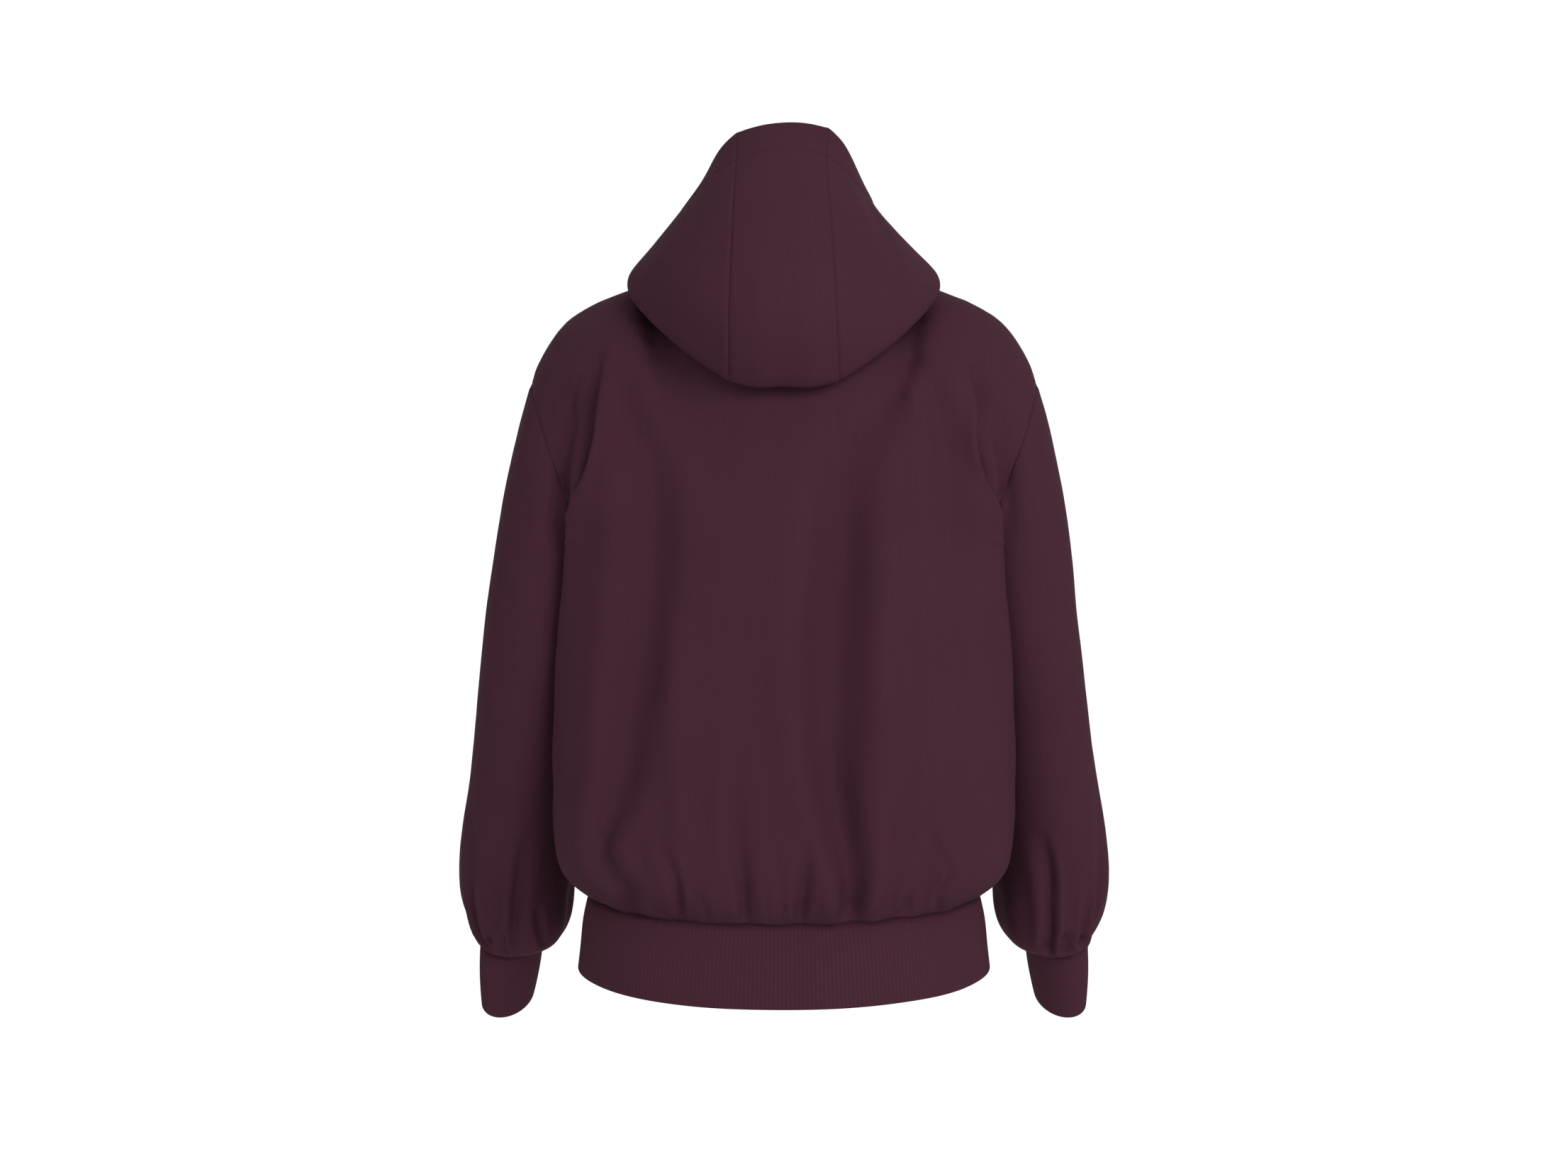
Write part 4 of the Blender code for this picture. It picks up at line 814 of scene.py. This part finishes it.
# %% [markdown]
# Now the points are lifted. The pieces were smoothed one by one, so a seam may stand open by a
# little. Each sewn point is moved to the middle of the places where the pieces that meet there
# have their edges, and the cloth near it goes along. Last, every sewn edge is let over its
# neighbour by a hair, so that no light shows.

# %% Shape the skins and close the seams
CLOSING_ROUNDS = 2
MEETS_WITHIN = 7 * MM
SPREAD = 6 * MM
SPREAD_ENDS = 15 * MM
OVERLAP = 0.08 * MM


def nearest_on(points, starts, ends):
    """For each point, the nearest place on any of some straight lines."""
    runs = ends - starts
    squares = np.maximum((runs**2).sum(1), SAME_PLACE**2)
    found = np.empty_like(points)
    for number, point in enumerate(points):
        t = (((point - starts) * runs).sum(1) / squares).clip(0, 1)
        on = starts + runs * t[:, None]
        found[number] = on[((on - point) ** 2).sum(1).argmin()]
    return found


for name, skin in skins.items():
    skin.shaped = skin.place + skin.normal * skin.lift[:, None]
    skin.edges = open_edges(meshes[name])
    edge = np.unique(skin.edges)
    skin.sewn = edge[skin.to_seam[edge] < SAME_PLACE]
    tree = tree_of(skin.place[skin.sewn])
    skin.near = np.flatnonzero(skin.to_seam < SPREAD_ENDS)
    skin.with_it = [tree.find(place)[1] for place in skin.place[skin.near]]
for _ in range(CLOSING_ROUNDS):
    lines = {name: skin.shaped[skin.edges] for name, skin in skins.items()}
    for name, skin in skins.items():
        here = skin.shaped[skin.sewn]
        total, count = here.copy(), np.ones((len(here), 1))
        for other in lines:
            if other != name:
                there = nearest_on(here, *lines[other])
                meets = np.linalg.norm(there - here, axis=1, keepdims=True) < MEETS_WITHIN
                total += there * meets
                count += meets
        moves = total / count - here
        share = bell(skin.to_seam[skin.near], SPREAD)[:, None]
        skin.shaped[skin.near] += moves[skin.with_it] * share
        print(name, "closed by up to", round(np.linalg.norm(moves, axis=1).max() / MM, 2), "mm")
for name, skin in skins.items():
    out = skin.shaped - averaged(meshes[name], skin.shaped, 1)
    out = out[skin.sewn] / np.linalg.norm(out[skin.sewn], axis=1)[:, None]
    skin.shaped[skin.sewn] += OVERLAP * out
    meshes[name].vertices.foreach_set("co", skin.shaped.ravel())
    meshes[name].update()
    print(name, "lifted", round(skin.lift.min() / MM, 1), "to", round(skin.lift.max() / MM, 1), "mm")

# %% [markdown]
# Now the skins become cloth. Solidify gives each one its real thickness, inwards, and a second
# material for its brushed inside. The ribs and the hood's hem are folded double at their free
# edges, so those edges alone carry the weight that a small bevel rounds.

# %% Make the cloth pieces
ROUNDED = {"cuff": 1.2 * MM, "hem": 1.2 * MM, "hood": 0.6 * MM}
ROUNDING_STEPS = 2

cloth = {}
for name, piece in PIECES.items():
    mesh = meshes[name]
    mesh.shade_smooth()
    made = new_object(name + "_cloth", mesh)
    wall = made.modifiers.new("thickness", "SOLIDIFY")
    wall.thickness = piece.wall
    wall.offset = -1.0
    wall.use_quality_normals = True
    wall.material_offset = 1
    kind = name.split("_")[0]
    if kind in ROUNDED:
        free = (skins[name].to_free[edge_ends(mesh)] < SAME_PLACE).all(1)
        weights = mesh.attributes.new("bevel_weight_edge", "FLOAT", "EDGE")
        weights.data.foreach_set("value", free.astype(np.float32))
        rounding = made.modifiers.new("rounding", "BEVEL")
        rounding.width = ROUNDED[kind]
        rounding.segments = ROUNDING_STEPS
        rounding.limit_method = "WEIGHT"
    cloth[name] = made

# %% [markdown]
# A row of stitches follows a line on the cloth at an even distance from an edge. Each edge of
# the skin that the line crosses gives one point. Joined face by face, they make the line.

# %% Find a line on a skin
def lines_at(name, field, value):
    """Runs of (place, normal) along a skin, where a field over its points has one value."""
    mesh, skin = meshes[name], skins[name]
    ends = edge_ends(mesh)
    off = field - value
    crossed = {}
    for a, b in ends[off[ends[:, 0]] * off[ends[:, 1]] < 0]:
        t = off[a] / (off[a] - off[b])
        place = skin.shaped[a] * (1 - t) + skin.shaped[b] * t
        crossed[(min(a, b), max(a, b))] = (Vector(place), Vector(skin.normal[a]))
    joined = defaultdict(list)
    above = off > 0
    for face in mesh.polygons:
        if 0 < above[list(face.vertices)].sum() < len(face.vertices):
            keys = [key for key in face.edge_keys if key in crossed]
            if len(keys) == 2:
                joined[keys[0]].append(keys[1])
                joined[keys[1]].append(keys[0])
    runs = []
    waiting = set(joined)
    while waiting:
        ahead = [key for key in sorted(waiting) if len(joined[key]) == 1] or [min(waiting)]
        run = []
        while ahead:
            run.append(ahead[0])
            waiting.discard(ahead[0])
            ahead = [key for key in joined[ahead[0]] if key in waiting]
        runs.append([crossed[key] for key in run])
    return runs


# %% [markdown]
# Each stitch is a short thread that lies on the cloth and dips in at both ends: a ball of a
# few faces, stretched along the line. One joined mesh holds a whole row.

# %% Sew a row of stitches
STITCH_PITCH = 3.0 * MM
STITCH_LENGTH = 2.3 * MM
THREAD = 0.45 * MM
THREAD_SIDES = 6
THREAD_RINGS = 4
SHORTEST_RUN = 12 * MM


def spots_along(run, pitch):
    """(place, normal, direction) at even steps along a run."""
    values = np.array([[*place, *normal] for place, normal in run])
    travelled = np.r_[0, np.cumsum(np.linalg.norm(np.diff(values[:, :3], axis=0), axis=1))]
    if travelled[-1] < SHORTEST_RUN:
        return []
    at = np.arange(pitch / 2, travelled[-1], pitch)
    here, ahead, behind = (
        np.array([np.interp(at + step, travelled, column) for column in values.T]).T
        for step in (0, pitch / 4, -pitch / 4)
    )
    found = zip(here[:, :3], here[:, 3:], (ahead - behind)[:, :3])
    return [(Vector(a), Vector(b).normalized(), Vector(c).normalized()) for a, b, c in found]


def sew(name, runs):
    """A joined mesh of stitches along some runs, as a new object."""
    shape = bmesh.new()
    count = 0
    for run in runs:
        for place, normal, ahead in spots_along(run, STITCH_PITCH):
            beside = normal.cross(ahead).normalized()
            upright = ahead.cross(beside)
            turn = Matrix((ahead, beside, upright)).transposed().to_4x4()
            size = Matrix.Diagonal((STITCH_LENGTH / 2, THREAD / 2, THREAD / 2, 1.0))
            bmesh.ops.create_uvsphere(
                shape, u_segments=THREAD_SIDES, v_segments=THREAD_RINGS, radius=1.0,
                matrix=Matrix.Translation(place) @ turn @ size,
            )
            count += 1
    mesh = new_mesh(name, shape)
    mesh.shade_smooth()
    print(name, count, "stitches")
    return new_object(name, mesh)


stitches = {}
hem_runs = [run for name in hood_names for run in lines_at(name, skins[name].to_face, HOOD_HEM)]
stitches["hood_centre"] = sew("hood_hem_stitches", hem_runs)
rib_runs = defaultdict(list)
for name, (rib_piece, apart) in BESIDE_RIB.items():
    rib_runs[rib_piece] += lines_at(name, skins[name].to_rib, apart)
for rib_piece, runs in rib_runs.items():
    stitches[rib_piece] = sew(rib_piece + "_stitches", runs)

# %% [markdown]
# The cloth is a cotton and polyester fleece in a deep plum red, with a fine, matt jersey face.
# Colours are sRGB hex values, as one sees them, and one function turns them into the linear
# values that the renderer wants. One more adds a node with its settings and its links.

# %% Helpers for materials
COTTON_IOR = 1.5
SHEEN_ROUGHNESS = 0.5


def linear(hex_colour):
    """The linear colour of an sRGB hex value."""
    values = [int(hex_colour[k : k + 2], 16) / 255 for k in (0, 2, 4)]
    return [v / 12.92 if v <= 0.04045 else ((v + 0.055) / 1.055) ** 2.4 for v in values] + [1.0]


def add_node(tree, kind, inputs, output=0, **settings):
    """Add a node and give back one of its outputs; inputs maps sockets to values or outputs."""
    made = tree.nodes.new("ShaderNode" + kind)
    for key, value in settings.items():
        setattr(made, key, value)
    for socket, value in inputs.items():
        if isinstance(value, bpy.types.NodeSocket):
            tree.links.new(value, made.inputs[socket])
        else:
            made.inputs[socket].default_value = value
    return made.outputs[output]


def start_material(name, roughness, sheen, specular):
    """A material with its shader, matt and with no metal in it."""
    material = bpy.data.materials.new(name)
    material.use_nodes = True
    tree = material.node_tree
    shader = tree.nodes["Principled BSDF"].inputs
    shader["Roughness"].default_value = roughness
    shader["Metallic"].default_value = 0.0
    shader["IOR"].default_value = COTTON_IOR
    shader["Specular IOR Level"].default_value = specular
    shader["Sheen Weight"].default_value = sheen
    shader["Sheen Roughness"].default_value = SHEEN_ROUGHNESS
    return material, tree, shader


def give_colour(tree, shader, share, first, second):
    """Give a shader a colour that turns from one into another; 6 and 7 are a Mix's colours."""
    mixed = add_node(tree, "Mix", {0: share, 6: first, 7: second}, 2, data_type="RGBA")
    tree.links.new(mixed, shader["Base Color"])


# %% [markdown]
# The jersey face. Two yarn colours are mixed by three patterns: a fine mottle from yarn to
# yarn, faint streaks along the grain, as knitted cloth has from yarn of uneven thickness, and
# a slow change over a hand's width. The bump is the knit itself: columns of small V stitches,
# 1.3 mm wide and 1 mm high, which show only from close by, under a soft fuzz.

# %% Jersey face of the fleece
PER_METRE = 1000
WALE_MM = 1.3
COURSE_MM = 1.0
MOTTLE_MM = 1.6
STREAK_MM = (2.2, 60.0)
SLOW_MM = 90.0
FUZZ_MM = 0.9
KNIT_DEPTH = 0.25 * MM
KNIT_STRENGTH = 0.5
# The three patterns add up to about 1.5, and to less or more by half of that.
PATTERN_RANGE = (0.75, 2.25)
# Roughness, sheen and specular level: worn cotton knit scatters nearly all light.
KNIT_FINISH = (0.9, 0.0, 0.03)
JERSEY_DARK, JERSEY_LIGHT = "321A24", "371E29"


def knit_normal(tree, flat):
    """The normal of a plain knit, as V stitches in columns, from a flat map in metres."""
    x = add_node(tree, "SeparateXYZ", {0: flat}, "X")
    y = x.node.outputs["Y"]
    across = add_node(tree, "Math", {0: x, 1: PER_METRE / WALE_MM}, operation="MULTIPLY")
    leg = add_node(tree, "Math", {0: across, 1: 0.5}, operation="PINGPONG")
    along = add_node(tree, "Math", {0: y, 1: PER_METRE / COURSE_MM}, operation="MULTIPLY")
    slanted = add_node(tree, "Math", {0: along, 1: leg}, operation="ADD")
    loop = add_node(tree, "Math", {0: slanted, 1: 0.5}, operation="PINGPONG")
    valley = add_node(tree, "Math", {0: leg, 1: 2.0}, operation="MULTIPLY")
    height = add_node(tree, "Math", {0: loop, 1: valley}, operation="MULTIPLY")
    return add_node(tree, "Bump", {"Height": height, "Strength": KNIT_STRENGTH, "Distance": KNIT_DEPTH})


def jersey(name):
    """The smooth knitted face of the fleece, in two close colours."""
    material, tree, shader = start_material(name, *KNIT_FINISH)
    flat = add_node(tree, "TexCoord", {}, "UV")
    place = flat.node.outputs["Object"]
    mottle = add_node(tree, "TexNoise", {"Vector": place, "Scale": PER_METRE / MOTTLE_MM})
    slow = add_node(tree, "TexNoise", {"Vector": place, "Scale": PER_METRE / SLOW_MM})
    streak_scale = [PER_METRE / STREAK_MM[0], PER_METRE / STREAK_MM[1], 1.0]
    stretched = add_node(tree, "Mapping", {"Vector": flat, "Scale": streak_scale})
    streaks = add_node(tree, "TexNoise", {"Vector": stretched, "Scale": 1.0})
    both = add_node(tree, "Math", {0: mottle, 1: streaks}, operation="ADD")
    every = add_node(tree, "Math", {0: both, 1: slow}, operation="ADD")
    share = add_node(tree, "MapRange", {"Value": every, "From Min": PATTERN_RANGE[0],
                                        "From Max": PATTERN_RANGE[1]})
    give_colour(tree, shader, share, linear(JERSEY_DARK), linear(JERSEY_LIGHT))
    fuzz = add_node(tree, "TexNoise", {"Vector": place, "Scale": PER_METRE / FUZZ_MM})
    bump = add_node(tree, "Bump", {"Height": fuzz, "Strength": KNIT_STRENGTH, "Distance": KNIT_DEPTH,
                                   "Normal": knit_normal(tree, flat)})
    tree.links.new(bump, shader["Normal"])
    return material


# %% [markdown]
# The rib is the same yarn in ridges, with painted shade darkening its furrows, by the furrow
# value of the rings' points. The inside of the fleece is brushed into a soft, slightly lighter
# pile of small tufts. The thread is spun tighter and dyed to match, with strands drawn 0.5 mm apart.

# %% Rib, brushed inside and thread
# The third rib colour is painted shade, laid into the furrows.
RIB_DARK, RIB_LIGHT, RIB_FURROW_SHADE = "341B25", "3A202B", "321A23"
FURROW_SHADE_SHARPNESS = 2.0
PILE_DARK, PILE_LIGHT = "341C26", "40242F"
PILE_FINISH = (0.95, 0.12, 0.05)
PILE_DEPTH = 0.8 * MM
PILE_STRENGTH = 0.8
TUFT_MM = 2.2
TUFT_DETAIL = 4.0
THREAD_DARK, THREAD_LIGHT = "28141C", "331B25"
THREAD_FINISH = (0.8, 0.0, 0.1)
STRAND_MM = 0.5


def rib(name):
    """The ribbed knit of the cuffs and the band, with painted shade in its furrows."""
    material, tree, shader = start_material(name, *KNIT_FINISH)
    flat = add_node(tree, "TexCoord", {}, "UV")
    place = flat.node.outputs["Object"]
    mottle = add_node(tree, "TexNoise", {"Vector": place, "Scale": PER_METRE / MOTTLE_MM})
    ridge = add_node(tree, "Mix", {0: mottle, 6: linear(RIB_DARK), 7: linear(RIB_LIGHT)}, 2,
                     data_type="RGBA")
    # Painted shade: the colour darkens towards the bottom of each furrow, most where it is deepest.
    furrow = add_node(tree, "Attribute", {}, "Fac", attribute_name="furrow")
    deep = add_node(tree, "Math", {0: furrow, 1: FURROW_SHADE_SHARPNESS}, operation="POWER")
    give_colour(tree, shader, deep, ridge, linear(RIB_FURROW_SHADE))
    tree.links.new(knit_normal(tree, flat), shader["Normal"])
    return material


def brushed(name):
    """The brushed pile on the inside of the fleece."""
    material, tree, shader = start_material(name, *PILE_FINISH)
    place = add_node(tree, "TexCoord", {}, "Object")
    tufts = add_node(tree, "TexNoise", {"Vector": place, "Scale": PER_METRE / TUFT_MM,
                                        "Detail": TUFT_DETAIL})
    give_colour(tree, shader, tufts, linear(PILE_DARK), linear(PILE_LIGHT))
    pile = add_node(tree, "Bump", {"Height": tufts, "Strength": PILE_STRENGTH, "Distance": PILE_DEPTH})
    tree.links.new(pile, shader["Normal"])
    return material


def thread(name):
    """Spun polyester sewing thread, in fine twisted strands."""
    material, tree, shader = start_material(name, *THREAD_FINISH)
    place = add_node(tree, "TexCoord", {}, "Object")
    strands = add_node(tree, "TexNoise", {"Vector": place, "Scale": PER_METRE / STRAND_MM})
    give_colour(tree, shader, strands, linear(THREAD_DARK), linear(THREAD_LIGHT))
    return material


fleece_face = jersey("fleece_jersey_face")
hood_face = jersey("hood_jersey_face")
rib_knit = rib("rib_knit")
brushed_inside = brushed("brushed_inside")
sewing_thread = thread("sewing_thread")

FACES = {"cuff": rib_knit, "hem": rib_knit, "hood": hood_face}
for name, made in cloth.items():
    face = FACES.get(name.split("_")[0], fleece_face)
    made.data.materials.append(face)
    made.data.materials.append(face if face is rib_knit else brushed_inside)
for made in stitches.values():
    made.data.materials.append(sewing_thread)

# %% [markdown]
# The studio is white: a white world, a white floor well below the garment, and one large soft
# light from the right of the camera, a little above it. The colours are shown as they are.

# %% Floor and light
FLOOR_HEIGHT = -145 * CM
FLOOR_SIZE = 16.0
FLOOR_TILES = 8
KEY_PLACE = Vector((-1.3, 2.4, 0.75))
KEY_AIM = Vector((0, 0, -0.3))
KEY_SIZE = 1.3
KEY_WATTS = 60.0
WORLD_STRENGTH = 1.04
PAPER_FINISH = (0.9, 0.0, 0.1)
WHITE = "FFFFFF"

shape = bmesh.new()
bmesh.ops.create_grid(
    shape, x_segments=FLOOR_TILES, y_segments=FLOOR_TILES, size=FLOOR_SIZE / 2,
    matrix=Matrix.Translation((0, 0, FLOOR_HEIGHT)),
)
floor = new_object("floor", new_mesh("floor", shape))
paper, _, shader = start_material("studio_paper", *PAPER_FINISH)
shader["Base Color"].default_value = linear(WHITE)
floor.data.materials.append(paper)

key = bpy.data.lights.new("key", "AREA")
key.shape = "DISK"
key.size = KEY_SIZE
key.energy = KEY_WATTS
lamp = new_object("key", key)
lamp.location = KEY_PLACE
lamp.rotation_euler = (KEY_AIM - KEY_PLACE).to_track_quat("-Z", "Y").to_euler()

world = bpy.data.worlds.new("studio")
world.use_nodes = True
background = world.node_tree.nodes["Background"]
background.inputs["Color"].default_value = linear(WHITE)
background.inputs["Strength"].default_value = WORLD_STRENGTH
bpy.context.scene.world = world
bpy.context.scene.view_settings.view_transform = "Standard"

# %% [markdown]
# Everything rides on the garment's one body, and each cloth piece stands for its own node,
# which is hidden; its flat size and its area are printed. The stitches go with their cloth.

for name, made in cloth.items():
    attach(made, "root")
    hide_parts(name)
    width, length = flat_sizes[name]
    area = min(sum(face.area for face in meshes[name].polygons), width * length)
    sewn_on = [stitches[name]] if name in stitches else []
    for rows in sewn_on:
        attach(rows, "root")
    print(name, "cut", round(width / CM, 1), "x", round(length / CM, 1), "cm,", round(area, 4), "m2")
